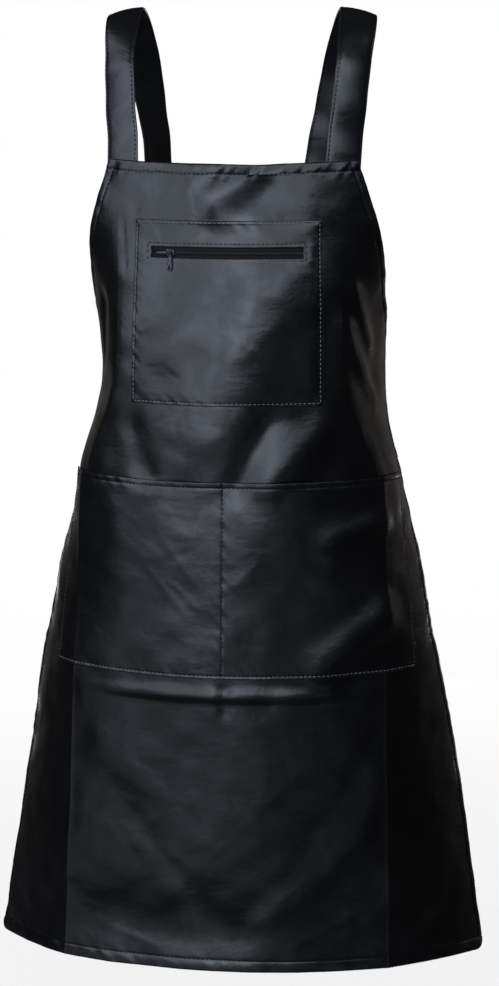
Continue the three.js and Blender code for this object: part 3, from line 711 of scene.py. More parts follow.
pvc = coated("black_pvc", black=(0.0026, 0.0027, 0.0031), dusty=(0.0048, 0.0048, 0.0052), ior=1.5)
# painted sheen: the straps' coating is a lighter copy of the sheet's, standing in for the sheen they show
strap_pvc = coated("strap_pvc", black=(0.006, 0.0063, 0.0072), dusty=(0.013, 0.0133, 0.015), ior=1.53)
print("coated face:", len(pvc.tree.nodes), "nodes")

# %% Knitted backing
BACKING_SHADES = ((0.028, 0.028, 0.031), (0.07, 0.07, 0.075))
RIB_SCALE, LOOP_SCALE = 170.0, 210.0

backing = Finish("knitted_backing")
sheet_place = backing.carried("flat", "Vector")
ribs = backing.stripes(sheet_place, "X", RIB_SCALE, distortion=1.2, detail=1.0)
loops = backing.stripes(sheet_place, "Y", LOOP_SCALE, distortion=1.6, detail=1.0)
fuzz = backing.noise(backing.place(), 1.2, detail=4.0)
knit = ribs * loops
backing.surface(
    Base_Color=backing.mix(knit, *BACKING_SHADES),
    Roughness=0.82 + 0.1 * fuzz,
    Normal=backing.bump(0.22 * knit + 0.1 * fuzz),
    Sheen_Weight=0.25,
    Sheen_Roughness=0.5,
)
print("backing:", len(backing.tree.nodes), "nodes")

# %% Threads
TWIST_SCALE = 900.0
# name, dark shade, light shade, shine
# one black thread in three copies: the grey and the dull rows are painted highlights for stitches that catch
# the light
THREADS = (
    ("painted_highlight_thread", (0.13, 0.133, 0.14), (0.38, 0.38, 0.39), 0.5),
    ("painted_dim_highlight_thread", (0.03, 0.031, 0.033), (0.12, 0.12, 0.125), 0.35),
    ("black_thread", (0.004, 0.0043, 0.005), (0.015, 0.015, 0.017), 0.12),
)


def thread_finish(name, dark, light, shine):
    """Twisted thread with a little lint."""
    thread = Finish(name)
    twist = thread.stripes(thread.place(), "DIAGONAL", TWIST_SCALE, distortion=0.8)
    lint = thread.noise(thread.place(), 0.7, detail=3.0)
    return thread.surface(
        Base_Color=thread.mix(twist * lint, dark, light),
        Roughness=0.5 + 0.2 * lint,
        Normal=thread.bump(0.12 * twist),
        Specular_IOR_Level=shine,
    )


painted_highlight_thread, painted_dim_highlight_thread, black_thread = (thread_finish(*row) for row in THREADS)
print("threads:", painted_highlight_thread.name, painted_dim_highlight_thread.name, black_thread.name)

# %% [markdown]
# ## Front sheet
# The grid's rows and columns are even over the cloth and close together beside the hems, where the sheet
# dips into the stitch line and swells over the turned-in edge. The top edge sags a little between the
# straps, the hem's corners droop, and the bottom hem kicks out, which is why it catches the light.

# %% Places of hems and pockets
SHEET = 1.2  # thickness of the cloth
FOLDED = 2 * SHEET
SEAM_GAP = 0.4  # between a pocket's seam and the sheet
BIB_TOP, BIB_SAG, TOP_HEM = -146, 3, 9
HEM_DROOP, BOTTOM_HEM = 8, 10
SIDE_HEM = 8
CHEST_TOP, CHEST_BOTTOM = -203, -381.5
CHEST_HALF = (93.5, 97)  # half its width on the flat sheet, at its top and its bottom
CHEST_DISH, CHEST_MARGIN = 2.6, 13  # the sheet is pressed in behind the chest pocket
HIP_TOP, HIP_BOTTOM, HIP_HEM = -457, -649, 17
HEM_STEPS = (0, 0.7, 1.8, 3.4, 5.4)  # distances from an edge
SEAM_STEPS = (-1.7, -0.9, 0, 0.9, 1.7, 3.2)  # distances from a stitch line


def dipped(height, around):
    """Height of a row once the top edge sags and the hem's corners droop."""
    share = np.abs(around) / edge_line(height)
    near_top = np.clip((height - CHEST_TOP) / (BIB_TOP - CHEST_TOP), 0, 1)
    near_hem = np.clip((HIP_BOTTOM - height) / (HIP_BOTTOM - HEM_BOTTOM), 0, 1)
    return height - BIB_SAG * near_top * (1 - share**2) - HEM_DROOP * near_hem * share**4


def chest_half(height):
    """Half the chest pocket's width on the flat sheet."""
    down = (CHEST_TOP - height) / (CHEST_TOP - CHEST_BOTTOM)
    return CHEST_HALF[0] + (CHEST_HALF[1] - CHEST_HALF[0]) * down


def inside_chest(around, height):
    """1 well inside the chest pocket's seams, 0 on them and outside."""
    from_side = chest_half(height) - np.abs(around)
    from_ends = np.minimum(CHEST_TOP - height, height - CHEST_BOTTOM)
    return ease(from_side / CHEST_MARGIN) * ease(from_ends / CHEST_MARGIN)


print("chest pocket", CHEST_TOP - CHEST_BOTTOM, "mm high, hip pocket", HIP_TOP - HIP_BOTTOM, "mm high")

# %% Relief beside the hems
HEM_ROLL, HEM_GROOVE, HEM_GROOVE_WIDTH, PUCKER_SLANT = 0.3, 0.4, 0.9, 0.7
TOP_DRAWN, SIDE_SHIFT = 0.5, 31  # height of the top hem's puckers, and how the sides' puckers differ
BOTTOM_SLACK, BOTTOM_KICK = 0.7, 1.2  # the bottom hem's puckers are longer, and its edge stands out
PUCKER_MIDDLE, PUCKER_REACH = 0.7, 0.8  # of the hem's width
pucker = waves(seed=31, length=10, count=14)


def groove(distance, depth=0.5, width=1.0):
    """The dip along a line of stitches."""
    return -depth * np.exp(-(distance / width) ** 2)


def hem(distance, width, along, kick=0.0, drawn=0.3):
    """Lift of the outer face beside a turned hem: a soft roll, a stitched groove and slanting puckers."""
    inside = np.clip(distance / width, 0, 1)
    roll = HEM_ROLL * np.sin(math.pi * inside) + kick * (1 - inside)
    stitched = groove(distance - width, HEM_GROOVE, HEM_GROOVE_WIDTH)
    ripple = drawn * np.exp(-((distance - PUCKER_MIDDLE * width) / (PUCKER_REACH * width)) ** 2)
    return roll + stitched + ripple * pucker(along + PUCKER_SLANT * distance, 0 * along)


print("a stitched groove is", round(float(hem(TOP_HEM, TOP_HEM, np.zeros(1))[0]), 2), "mm deep")

# %% The sheet's outer face
HEM_FLARE, FLARE_REACH, FLARE_HALF, FLARE_FADE = 2.5, 25, 170, 60
FLARE_EVEN, FLARE_WAVE, FLARE_QUICK = 0.85, 0.3, 1.6  # even and wavy share, and how short the waves are
CREASE_PRESS, PRESS_REACH, PRESS_FADE = 0.55, 1.7, 40


def flare(around, height):
    """The cloth kicks out towards the hem, more in some places than in others, and on the front alone."""
    uneven = FLARE_EVEN + FLARE_WAVE * slow_wave(FLARE_QUICK * around, 0 * around)
    uneven = uneven * ease((FLARE_HALF - np.abs(around)) / FLARE_FADE)
    return HEM_FLARE * uneven * np.exp(-((height - HEM_BOTTOM) / FLARE_REACH) ** 2)


def pressed(around, height):
    """The fine ridge that ironing leaves along the crease, from the hips down."""
    from_crease = np.abs(np.abs(around) - crease_line(height))
    return CREASE_PRESS * np.exp(-from_crease / PRESS_REACH) * ease((IRONED_FROM - height) / PRESS_FADE)


def sheet_lift(around, height):
    """Lift of the front sheet's outer face beside its four hems."""
    from_side = edge_line(height) - np.abs(around)
    return (hem(BIB_TOP - height, TOP_HEM, around, drawn=TOP_DRAWN)
            + hem(from_side, SIDE_HEM, height + SIDE_SHIFT * np.sign(around))
            + hem(height - HEM_BOTTOM, BOTTOM_HEM, BOTTOM_SLACK * around, BOTTOM_KICK)
            + flare(around, height) + pressed(around, height) - CHEST_DISH * inside_chest(around, height))


def sheet_face(around, height):
    """The front sheet's outer face at a row's nominal height."""
    return off_skin(around, dipped(height, around), sheet_lift(around, height))


print("middle of the hem at", np.round(sheet_face(0.0, float(HEM_BOTTOM)), 1).tolist())

# %% Rows and columns of the front sheet
FRONT_CELLS, SIDE_CELLS, ROW_STEP = 46, 28, 3.3
CREASE_STEPS = np.array((0.6, 1.2, 2.2))  # distances from the crease
NARROW_SIDE = 60  # these distances shrink where the side is narrower than this


def spaced(start, end, step):
    """Even stops from start to end, about a step apart."""
    return np.linspace(start, end, max(2, int(round(abs(end - start) / step)) + 1))


def sheet_rows():
    """Heights of the rows, from the top edge to the hem."""
    top = [BIB_TOP - d for d in HEM_STEPS] + [BIB_TOP - TOP_HEM - d for d in SEAM_STEPS]
    bottom = [HEM_BOTTOM + BOTTOM_HEM + d for d in SEAM_STEPS[::-1]]
    bottom += [HEM_BOTTOM + d for d in HEM_STEPS[::-1]]
    return np.array(top + list(spaced(top[-1], bottom[0], ROW_STEP)[1:-1]) + bottom)


def sheet_columns(rows):
    """Distance round from the middle of each column, for every row."""
    crease, edge = crease_line(rows)[:, None], edge_line(rows)[:, None]
    stitch = edge - SIDE_HEM
    near = np.minimum(1, (edge - crease) / NARROW_SIDE) * CREASE_STEPS[None, :]
    inner = (crease - near[:, -1:]) * np.linspace(0, 1, FRONT_CELLS + 1)[None, 1:]
    by_crease = np.concatenate([crease - near[:, -2::-1], crease, crease + near], 1)
    outer = stitch - SEAM_STEPS[-1] - by_crease[:, -1:]
    side = by_crease[:, -1:] + outer * np.linspace(0, 1, SIDE_CELLS + 1)[None, 1:-1]
    beside = np.concatenate([stitch - d for d in SEAM_STEPS[::-1]], 1)
    rim = np.concatenate([edge - d for d in HEM_STEPS[::-1]], 1)
    right = np.concatenate([inner, by_crease, side, beside, rim], 1)
    return np.concatenate([-right[:, ::-1], 0 * edge, right], 1)


rows = sheet_rows()
around = sheet_columns(rows)
print("front sheet's grid:", around.shape)

# %% Front sheet
EDGE_WEAR = 2.5  # the rubbed edge fades over this distance
TURNED_TO = 1.05  # the cloth is double up to this many times the hem's width from the edge
height = np.broadcast_to(rows[:, None], around.shape)
face = sheet_face(around, height)
from_edges = [BIB_TOP - height, height - HEM_BOTTOM, edge_line(height) - np.abs(around)]
hem_widths = (TOP_HEM, BOTTOM_HEM, SIDE_HEM)
in_hems = [distance / width for distance, width in zip(from_edges, hem_widths)]
turned = np.minimum.reduce(in_hems) < TURNED_TO
thick = np.where(turned, FOLDED, SHEET)
back = face - thick[..., None] * skin_out(around, dipped(height, around))
edge_wear = np.exp(-np.minimum.reduce(from_edges) / EDGE_WEAR)
front_sheet = closed_sheet("front_sheet_cloth", face, back, [pvc.material, backing.material],
                           flat_places(around, height), edge_wear,
                           back_finish=np.where(turned[1:, 1:] & turned[:-1, :-1], 0, 1))
print("front sheet:", face.shape[:2], "points,", len(front_sheet.data.polygons), "faces")

# %% [markdown]
# ## Chest pocket
# A patch with turned-in edges, sewn down a couple of millimetres from its rim and slightly puffed between
# the seams. The zip shows through a long slot whose lips are turned under and stitched too, so the slot is
# left out of the grid and gets a rounded rim of its own. Small lumps at the slot's ends and the pocket's
# corners are where the turned cloth bunches up.

# %% Relief of the chest pocket
CHEST_PUFF, POCKET_SEAM = 0.7, 2.2
CHEST_GROOVE, RIM_DROP, WINDOW_GROOVE = 0.3, 0.3, 0.1
CHEST_PUCKER, CHEST_PUCKER_REACH, CHEST_PUCKER_ROW = 0.22, 7, 57
WINDOW_TOP, WINDOW_BOTTOM, WINDOW_SHARE, WINDOW_SEAM = -227.9, -239.6, 0.65, 3.0
# around, height, reach, rise of the lumps at the slot's ends and the pocket's corners
LUMPS = (
    (-84, -230, 4.5, 0.5),
    (-83, -240, 4, 0.4),
    (84, -228, 4, 0.6),
    (83, -241, 4, 0.5),
    (-89, -206, 4, 0.6),
    (90, -206, 4, 0.8),
    (-92, -378, 4, 0.7),
    (93, -378, 4, 0.7),
)


def window_half(height):
    """Half the length of the zip's slot."""
    return WINDOW_SHARE * crease_line(height)


def chest_stand_off(around, height):
    """How far the pocket's inside stands off the sheet."""
    return SEAM_GAP + CHEST_PUFF * inside_chest(around, height)


def from_window(around, height):
    """Distance outside the zip's slot."""
    aside = np.maximum(np.abs(around) - window_half(height), 0)
    above = np.maximum(np.maximum(height - WINDOW_TOP, WINDOW_BOTTOM - height), 0)
    return np.hypot(aside, above)


def from_chest_rim(around, height):
    """Distance inside the chest pocket's rim."""
    return np.minimum.reduce([chest_half(height) - np.abs(around), CHEST_TOP - height,
                              height - CHEST_BOTTOM])


def chest_lift(around, height):
    """Lift of the chest pocket's outer face at its seams and corners."""
    from_rim = from_chest_rim(around, height)
    lift = groove(from_rim - POCKET_SEAM, CHEST_GROOVE) - RIM_DROP * np.exp(-from_rim)
    lift = lift + groove(from_window(around, height) - WINDOW_SEAM, WINDOW_GROOVE)
    for x, z, reach, rise in LUMPS:
        lift = lift + rise * np.exp(-((around - x) ** 2 + (height - z) ** 2) / reach**2)
    ripple = CHEST_PUCKER * np.exp(-(from_rim / CHEST_PUCKER_REACH) ** 2)
    return lift + ripple * pucker(around + height, 0 * around + CHEST_PUCKER_ROW)


def chest_face(around, height):
    """The chest pocket's outer face."""
    around, height = spread(around, height)
    out = chest_stand_off(around, height) + SHEET + chest_lift(around, height)
    return off_skin(around, height, out)


print("zip's slot", round(2 * float(window_half(ZIP_LINE))), "mm long")

# %% Chest pocket
FINE_STEP, WIDE_STEP = 0.75, 2.2  # between rows beside a seam, and elsewhere
FINE_SHARE, WIDE_SHARE = 0.008, 0.025  # the same between columns, of half the pocket's width
SEAM_BAND, SEAM_BAND_SHARE = 4.5, 0.048  # how far the close rows and columns reach from a seam
RIM_SHARE = 0.95  # the columns are close again from here to the pocket's side
POCKET_WEAR, SLOT_WEAR = 1.2, 0.8


def between(*stops):
    """Rows or columns through fixed stops, each with the step to use after it."""
    values = []
    for (start, step), (end, _) in zip(stops, stops[1:]):
        values += list(spaced(start, end, step)[:-1])
    return np.array(values + [stops[-1][0]])


chest_rows = between(
    (CHEST_TOP, FINE_STEP), (CHEST_TOP - SEAM_BAND, WIDE_STEP),
    (WINDOW_TOP + SEAM_BAND, FINE_STEP), (WINDOW_TOP, WINDOW_TOP - WINDOW_BOTTOM),
    (WINDOW_BOTTOM, FINE_STEP), (WINDOW_BOTTOM - SEAM_BAND, WIDE_STEP),
    (CHEST_BOTTOM + SEAM_BAND, FINE_STEP), (CHEST_BOTTOM, None),
)
window_share = float(window_half(ZIP_LINE) / chest_half(ZIP_LINE))
chest_shares = between(
    (0, WIDE_SHARE), (window_share, FINE_SHARE), (window_share + SEAM_BAND_SHARE, WIDE_SHARE),
    (RIM_SHARE, FINE_SHARE), (1, None),
)
chest_shares = np.concatenate([-chest_shares[:0:-1], chest_shares])
around = chest_half(chest_rows)[:, None] * chest_shares[None, :]
height = np.broadcast_to(chest_rows[:, None], around.shape)
slot_row = int(np.argmin(np.abs(chest_rows - WINDOW_TOP)))
slot_columns = np.abs(0.5 * (chest_shares[1:] + chest_shares[:-1])) < window_share
keep = np.ones((len(chest_rows) - 1, len(chest_shares) - 1), bool)
keep[slot_row, slot_columns] = False
chest_outer = chest_face(around, height)
chest_inner = chest_outer - (SHEET + chest_lift(around, height))[..., None] * skin_out(around, height)
chest_wear = np.maximum(np.exp(-from_chest_rim(around, height) / POCKET_WEAR),
                        np.exp(-from_window(around, height) / SLOT_WEAR))
chest_pocket = closed_sheet("chest_pocket_cloth", chest_outer, chest_inner, [pvc.material, backing.material],
                            flat_places(around, height), chest_wear, keep)
print("chest pocket:", chest_outer.shape[:2], "points")

# %% [markdown]
# ## Hip pocket
# One wide band from flank to flank, turned over at the top and sewn down along its middle, so it makes two
# pockets. Each mouth gapes a few millimetres. The turned hem shows as a step some way below the top edge,
# and the middle seam pulls the cloth in on both sides.

# %% Relief of the hip pocket
HIP_GAPE = 5
HIP_STITCH = 4.5  # stitch line below the top edge
HIP_TURNED, TURNED_STEP = 0.3, 12  # rise of the turned-over cloth, and the height over which it ends
MIDDLE_GROOVE = 0.35
HIP_PUCKER, HIP_PUCKER_REACH = 0.25, 9  # beside the bottom and the middle seam
MOUTH_PUCKER, MOUTH_PUCKER_REACH = 0.2, 8
HIP_PUCKER_SLANT, HIP_PUCKER_ROW = 0.9, 113


def hip_stand_off(around, height):
    """How far the pocket's inside stands off the sheet."""
    across = np.clip(np.abs(around) / pocket_line(height, np.sign(around)), 0, 1)
    up = (height - HIP_BOTTOM) / (HIP_TOP - HIP_BOTTOM)
    return SEAM_GAP + HIP_GAPE * np.sin(math.pi * across) * ease(up)


def from_hip_side(around, height):
    """Distance inside the hip pocket's side edges."""
    return pocket_line(height, np.sign(around)) - np.abs(around)


def hip_lift(around, height):
    """Lift of the hip pocket's outer face at its hem, seams and creases."""
    below = HIP_TOP - height
    from_bottom = height - HIP_BOTTOM
    lift = HIP_TURNED * ease((HIP_HEM + TURNED_STEP / 2 - below) / TURNED_STEP)
    lift = lift + groove(below - HIP_STITCH) + groove(from_bottom - POCKET_SEAM)
    lift = lift + groove(from_hip_side(around, height) - POCKET_SEAM) + groove(around, MIDDLE_GROOVE)
    lift = lift + pressed(around, height)
    near_seam = np.minimum(from_bottom, np.abs(around))
    ripple = HIP_PUCKER * np.exp(-(near_seam / HIP_PUCKER_REACH) ** 2)
    ripple = ripple + MOUTH_PUCKER * np.exp(-(below / MOUTH_PUCKER_REACH) ** 2)
    return lift + ripple * pucker(around + HIP_PUCKER_SLANT * height, 0 * around + HIP_PUCKER_ROW)


def hip_face(around, height):
    """The hip pocket's outer face."""
    around, height = spread(around, height)
    return off_skin(around, height, hip_stand_off(around, height) + SHEET + hip_lift(around, height))


mouth = float(pocket_line(HIP_TOP, 1) + pocket_line(HIP_TOP, -1))
print("hip pocket's mouth", round(mouth), "mm across")

# %% Hip pocket
HIP_MOUTH_BAND, HIP_STEP = 6, 2.8
HIP_HEM_ROWS = (15.5, 18.5)  # close rows this far below the top, where the turned cloth ends
hip_rows = between(
    (HIP_TOP, FINE_STEP), (HIP_TOP - HIP_MOUTH_BAND, WIDE_STEP),
    (HIP_TOP - HIP_HEM_ROWS[0], FINE_STEP), (HIP_TOP - HIP_HEM_ROWS[1], HIP_STEP),
    (HIP_BOTTOM + SEAM_BAND, FINE_STEP), (HIP_BOTTOM, None),
)
# shares of the way from the middle to the crease, and from there to the edge, each with the step after it
HIP_FRONT_STOPS = ((0, 0.006), (0.025, 0.018), (1, None))
HIP_SIDE_STOPS = ((0, 0.07), (0.86, 0.02), (1, None))
hip_front = between(*HIP_FRONT_STOPS)
hip_side = between(*HIP_SIDE_STOPS)[1:]
halves = {}
for side in (1, -1):
    crease, rim = crease_line(hip_rows)[:, None], pocket_line(hip_rows, side)[:, None]
    flank = crease + (rim - crease) * hip_side[None, :]
    halves[side] = np.concatenate([crease * hip_front[None, :], flank], 1)
around = np.concatenate([-halves[-1][:, :0:-1], halves[1]], 1)
height = np.broadcast_to(hip_rows[:, None], around.shape)
hip_outer = hip_face(around, height)
hip_inner = hip_outer - (SHEET + hip_lift(around, height))[..., None] * skin_out(around, height)
from_rim = np.minimum.reduce([from_hip_side(around, height), HIP_TOP - height, height - HIP_BOTTOM])
hip_pocket = closed_sheet("hip_pocket_cloth", hip_outer, hip_inner, [pvc.material, backing.material],
                          flat_places(around, height), np.exp(-from_rim / POCKET_WEAR))
print("hip pocket:", hip_outer.shape[:2], "points")

# %% [markdown]
# ## Straps and belt
# A strap is a strip folded double and sewn along both edges. It follows a smooth curve from the belt up the
# back, over the shoulder and down behind the bib's corner. At each station of that curve one rounded profile
# is set square to the way, with a shallow groove where the stitches pull it in, and neighbouring profiles
# are joined. A slow wave along the strip keeps it from looking like a ruler.

# %% Ribbon profile
STRAP_WIDTH = 37
STRAP_SEAM = 2.6  # stitch line from the edge
STRAP_PUFF = 0.35  # both faces swell by this much between the seams
STRAP_GROOVE = 0.4
PROFILE_MIDDLE = (0, 6, 11)  # points across the strap from its middle
PROFILE_SEAM = (-2, -0.9, 0, 0.9)  # points across the strap from the seam
PROFILE_EDGE = (60, 30, 0, -30, -60)  # turns of the points round the edge


def bend(across):
    """1 in the middle of a strip that is bent across its width, 0 at its edges."""
    return 1 - (across / (STRAP_WIDTH / 2)) ** 2


def ribbon_profile():
    """Points round a strap's section as (across, up)."""
    half, thick = STRAP_WIDTH / 2, FOLDED / 2
    inside = half - STRAP_SEAM
    flat = np.array(sorted({*PROFILE_MIDDLE, *(inside + step for step in PROFILE_SEAM), half - thick}))
    across = np.concatenate([-flat[:0:-1], flat])
    up = thick + groove(np.abs(across) - inside, STRAP_GROOVE) + STRAP_PUFF * bend(across)
    turn = np.radians(PROFILE_EDGE)
    cap = np.stack([half - thick + thick * np.cos(turn), thick * np.sin(turn)], 1)
    upper = np.stack([across, up], 1)
    lower = np.stack([across[::-1], -up[::-1]], 1)
    return np.concatenate([upper, cap, lower, -cap])


PROFILE = ribbon_profile()
print("strap profile of", len(PROFILE), "points")


# %% Ribbon along a way
STRAP_WEAR = 0.8


def run_along(points):
    """Distance from the start of a line to each of its points."""
    return np.concatenate([[0], np.cumsum(np.linalg.norm(np.diff(points, axis=0), axis=1))])


def hoops(count, sides, closed=False):
    """Faces that join a row of hoops, each with as many sides, and the last to the first if closed."""
    faces = []
    for hoop in range(count if closed else count - 1):
        near, far = hoop * sides, (hoop + 1) % count * sides
        for k in range(sides):
            after = (k + 1) % sides
            faces.append([near + k, near + after, far + after, far + k])
    return faces


def ribbon(name, middle, width_way, out_way, bow, wave):
    """A closed strip: middle, width_way, out_way and bow, its bend across the width, are rows along it."""
    length = run_along(middle)
    count, around = len(middle), len(PROFILE)
    drift = wave * np.outer(quick_wave(length, 0 * length), np.ones(around))
    drift = drift + np.outer(bow, bend(PROFILE[:, 0]))
    points = (middle[:, None, :] + PROFILE[None, :, 0, None] * width_way[:, None, :]
              + (PROFILE[None, :, 1] + drift)[..., None] * out_way[:, None, :])
    faces = [[a, d, c, b] for a, b, c, d in hoops(count, around)]
    faces += [list(range(around)), list(range(count * around))[-1:-around - 1:-1]]
    across, along = np.broadcast_arrays(PROFILE[None, :, 0], length[:, None])
    wear = np.exp(-(STRAP_WIDTH / 2 - np.abs(across)) / STRAP_WEAR)
    marks = {"flat": flat_places(across, along).reshape(-1, 3) * MM, "worn": wear.ravel()}
    piece = new_piece(name, points.reshape(-1, 3), faces, [strap_pvc.material], marks)
    return piece, float(length[-1])


print("straps are", STRAP_WIDTH, "mm wide")

# %% Way of the belt
BELT_HEIGHT, BELT_TUCK, BELT_BACK = -370.0, 28, 96
BELT_PULL = (50, 75)  # pull of the curve at the waist corner and at the middle of the back
BELT_STEPS, TUCK_STEPS = 60, 5
STRAP_BOW = 1.6
BELT_INSET = FOLDED + SEAM_GAP + STRAP_BOW + FOLDED / 2


def waist_corner(around):
    """The belt's middle line where it lies behind the sheet."""
    inward = -skin_out(around, BELT_HEIGHT)
    inward[2] = 0
    return skin(around, BELT_HEIGHT) + BELT_INSET * inward / np.linalg.norm(inward)


waist_edge = float(edge_line(BELT_HEIGHT))
edge_turn = math.radians(float(section("edge_turn", BELT_HEIGHT)))
BELT_ENDS = (waist_corner(waist_edge), np.array((0, BELT_BACK, BELT_HEIGHT)))
BELT_POINTS = np.stack([
    BELT_ENDS[0],
    BELT_ENDS[0] + BELT_PULL[0] * np.array((math.cos(edge_turn), math.sin(edge_turn), 0)),
    BELT_ENDS[1] + np.array((BELT_PULL[1], 0, 0)),
    BELT_ENDS[1],
])


def belt_curve(t):
    """The right half of the belt's middle line, from the waist corner to the middle of the back."""
    t = np.asarray(t, float)[..., None]
    a, b, c, d = BELT_POINTS
    return (1 - t) ** 3 * a + 3 * (1 - t) ** 2 * t * b + 3 * (1 - t) * t**2 * c + t**3 * d


tucked = [waist_corner(waist_edge - BELT_TUCK * step / TUCK_STEPS) for step in range(TUCK_STEPS, 0, -1)]
half_belt = np.concatenate([np.stack(tucked), belt_curve(np.linspace(0, 1, BELT_STEPS))])
belt_middle = np.concatenate([half_belt, half_belt[-2::-1] * (-1, 1, 1)])
print("belt's waist corner at", np.round(BELT_ENDS[0], 1).tolist())

# %% Belt
BELT_WAVE = 0.5
up_way = np.broadcast_to((0.0, 0.0, 1.0), belt_middle.shape)
belt_out = unit(np.cross(np.gradient(belt_middle, axis=0), up_way))
belt_frame = (belt_middle, up_way, belt_out, np.zeros(len(belt_middle)))
belt, belt_length = ribbon("back_belt_cloth", *belt_frame, BELT_WAVE)
print("belt", round(belt_length), "mm long")

# %% Way of a strap
STRAP_ON_BIB, STRAP_TUCK, STRAP_CLEAR = 116, 28, 12
STRAP_SEAT = {1: 0.66, -1: 0.54}  # place on each half of the belt, from corner to middle
BELT_FINE = 400  # steps in which the belt is measured
# x, y, z, yaw, slope, and for the left strap drift from the right one's mirror image and added yaw
STRAP_WAY = (
    (57.5, 93, -215, -38, 0, 38.5, -16),
    (74.5, 88, -120, -32, 5, 28.5, -19),
    (98, 58, -36, -12, 10, 16, -10),
    (117, 0, -2.5, 2, 13, 0, 0),
    (117, -40, -48, 30, 7, -1, 0),
)


def strap_stations(side):
    """Rows of x, y, z, yaw and slope from the belt to the bib. side is 1 on the right, -1 on the left."""
    fine = belt_curve(np.linspace(0, 1, BELT_FINE))
    run = run_along(fine)
    at = np.searchsorted(run, STRAP_SEAT[side] * run[-1])
    tangent = unit(fine[at + 1] - fine[at - 1])
    inward = np.array((-tangent[1], tangent[0], 0))
    seat = fine[at] + (FOLDED + SEAM_GAP + STRAP_BOW) * inward
    yaw = math.degrees(math.atan2(-tangent[1], -tangent[0]))
    lower = BELT_HEIGHT - STRAP_WIDTH / 2
    stations = [(seat[0], seat[1], z, yaw, 0) for z in (lower, lower + STRAP_TUCK + STRAP_CLEAR)]
    on_left = 1 if side < 0 else 0
    stations += [(x + on_left * drift, y, z, turn + on_left * twist, slope)
                 for x, y, z, turn, slope, drift, twist in STRAP_WAY]
    for z in (BIB_TOP, BIB_TOP - STRAP_TUCK):
        place = skin(STRAP_ON_BIB, z) - BELT_INSET * skin_out(STRAP_ON_BIB, z)
        turn = float(section("turn_in", z) * STRAP_ON_BIB / crease_line(z))
        stations.append((*place, turn, 0))
    return np.array(stations) * (side, 1, 1, side, side)


def through(points, per_span):
    """A centripetal curve through points, with per_span steps between neighbours."""
    ends = np.concatenate([[2 * points[0] - points[1]], points, [2 * points[-1] - points[-2]]])
    line = []
    for k in range(len(points) - 1):
        p0, p1, p2, p3 = ends[k:k + 4]
        d0, d1, d2 = (np.linalg.norm(b - a) ** 0.5 for a, b in ((p0, p1), (p1, p2), (p2, p3)))
        t1 = ((p1 - p0) / d0 - (p2 - p0) / (d0 + d1) + (p2 - p1) / d1) * d1
        t2 = ((p2 - p1) / d1 - (p3 - p1) / (d1 + d2) + (p3 - p2) / d2) * d1
        t = np.arange(per_span + (k == len(points) - 2))[:, None] / per_span
        line.append(smooth_step(t, p1, t1, p2, t2))
    return np.concatenate(line)


print("strap stations:", len(strap_stations(1)))

# %% Straps
STRAP_STEPS, STRAP_WAVE = 26, 0.45
FRONT_BOW = {1: 2.6, -1: 1.2}  # the straps bend across their width on the way down to the bib
SHOULDER_ROW, BIB_ROW, BOW_END = 5, 7, 0.15  # counted in stations from the belt


def strap_frame(side):
    """Middle, width way, outward way and bow of a strap, in rows along it."""
    stations = strap_stations(side)
    middle = through(stations[:, :3], STRAP_STEPS)
    along = unit(np.gradient(middle, axis=0))
    place = np.arange(len(middle)) / STRAP_STEPS
    low = np.minimum(place.astype(int), len(stations) - 2)
    share = ease(place - low)[:, None]
    turn = np.radians(stations[low, 3:] * (1 - share) + stations[low + 1, 3:] * share)
    yaw, slope = turn.T
    hint = np.stack([np.cos(yaw) * np.cos(slope), np.sin(yaw), -np.sin(slope)], 1)
    width = unit(hint - along * np.sum(hint * along, axis=1, keepdims=True))
    on_front = ease(place - SHOULDER_ROW) * ease((BIB_ROW - place) / BOW_END)
    bow = STRAP_BOW + (FRONT_BOW[side] - STRAP_BOW) * on_front
    return middle, width, np.cross(along, width), bow


strap_frames = {side: strap_frame(side) for side in (1, -1)}
straps, strap_lengths = {}, {}
for side, name in ((1, "strap_right_cloth"), (-1, "strap_left_cloth")):
    straps[side], strap_lengths[side] = ribbon(name, *strap_frames[side], STRAP_WAVE)
    print(name, round(strap_lengths[side]), "mm long")

# %% [markdown]
# ## Zip
# A nylon coil zip: two woven tapes behind the slot, each with a row of small loops along its edge that hook
# into the other's. Only the loops and the weave show, so the tapes are thin sheets with fine lines along
# them, and the loops are short bent rods, one after the other. Left of the slider the two tapes part.

# %% Zip finishes
TAPE_SHADES = ((0.004, 0.0042, 0.005), (0.018, 0.0185, 0.02))
NYLON_SHADES = ((0.006, 0.0063, 0.007), (0.018, 0.018, 0.02))
WARP_SCALE, PICK_SCALE = 310.0, 520.0  # lines along the tape, and the threads across them

zip_cloth = Finish("zip_tape_weave")
tape_place = zip_cloth.carried("flat", "Vector")
lines = zip_cloth.stripes(tape_place, "Y", WARP_SCALE, distortion=0.3)
picks = zip_cloth.stripes(tape_place, "X", PICK_SCALE, distortion=0.4)
weave = 0.75 * lines + 0.25 * picks
zip_cloth.surface(
    Base_Color=zip_cloth.mix(weave, *TAPE_SHADES),
    Roughness=0.85 - 0.15 * weave,
    Normal=zip_cloth.bump(0.25 * weave),
    Specular_IOR_Level=0.2,
)
nylon = Finish("nylon_coil")
speck = nylon.noise(nylon.place(), 1.5, detail=3.0)
nylon.surface(
    Base_Color=nylon.mix(speck, *NYLON_SHADES),
    Roughness=0.34 + 0.15 * speck,
    Normal=nylon.bump(0.03 * speck),
    Specular_IOR_Level=0.3,
)
print("zip weave:", len(zip_cloth.tree.nodes), "nodes")

# %% Tapes
TAPE, TAPE_DROP, TAPE_HALF = 0.8, 0.9, 12
TAPE_STEP, TAPE_RUNGS = 1.0, 16
TAPE_LINE, TAPE_LINE_HALF, TAPE_LINE_DEPTH = 4.5, 0.5, 0.12  # a woven-in line beside the coil
ZIP_ENDS = (-82, 82)
SHUT = 0.2  # half the gap where the tapes are hooked together
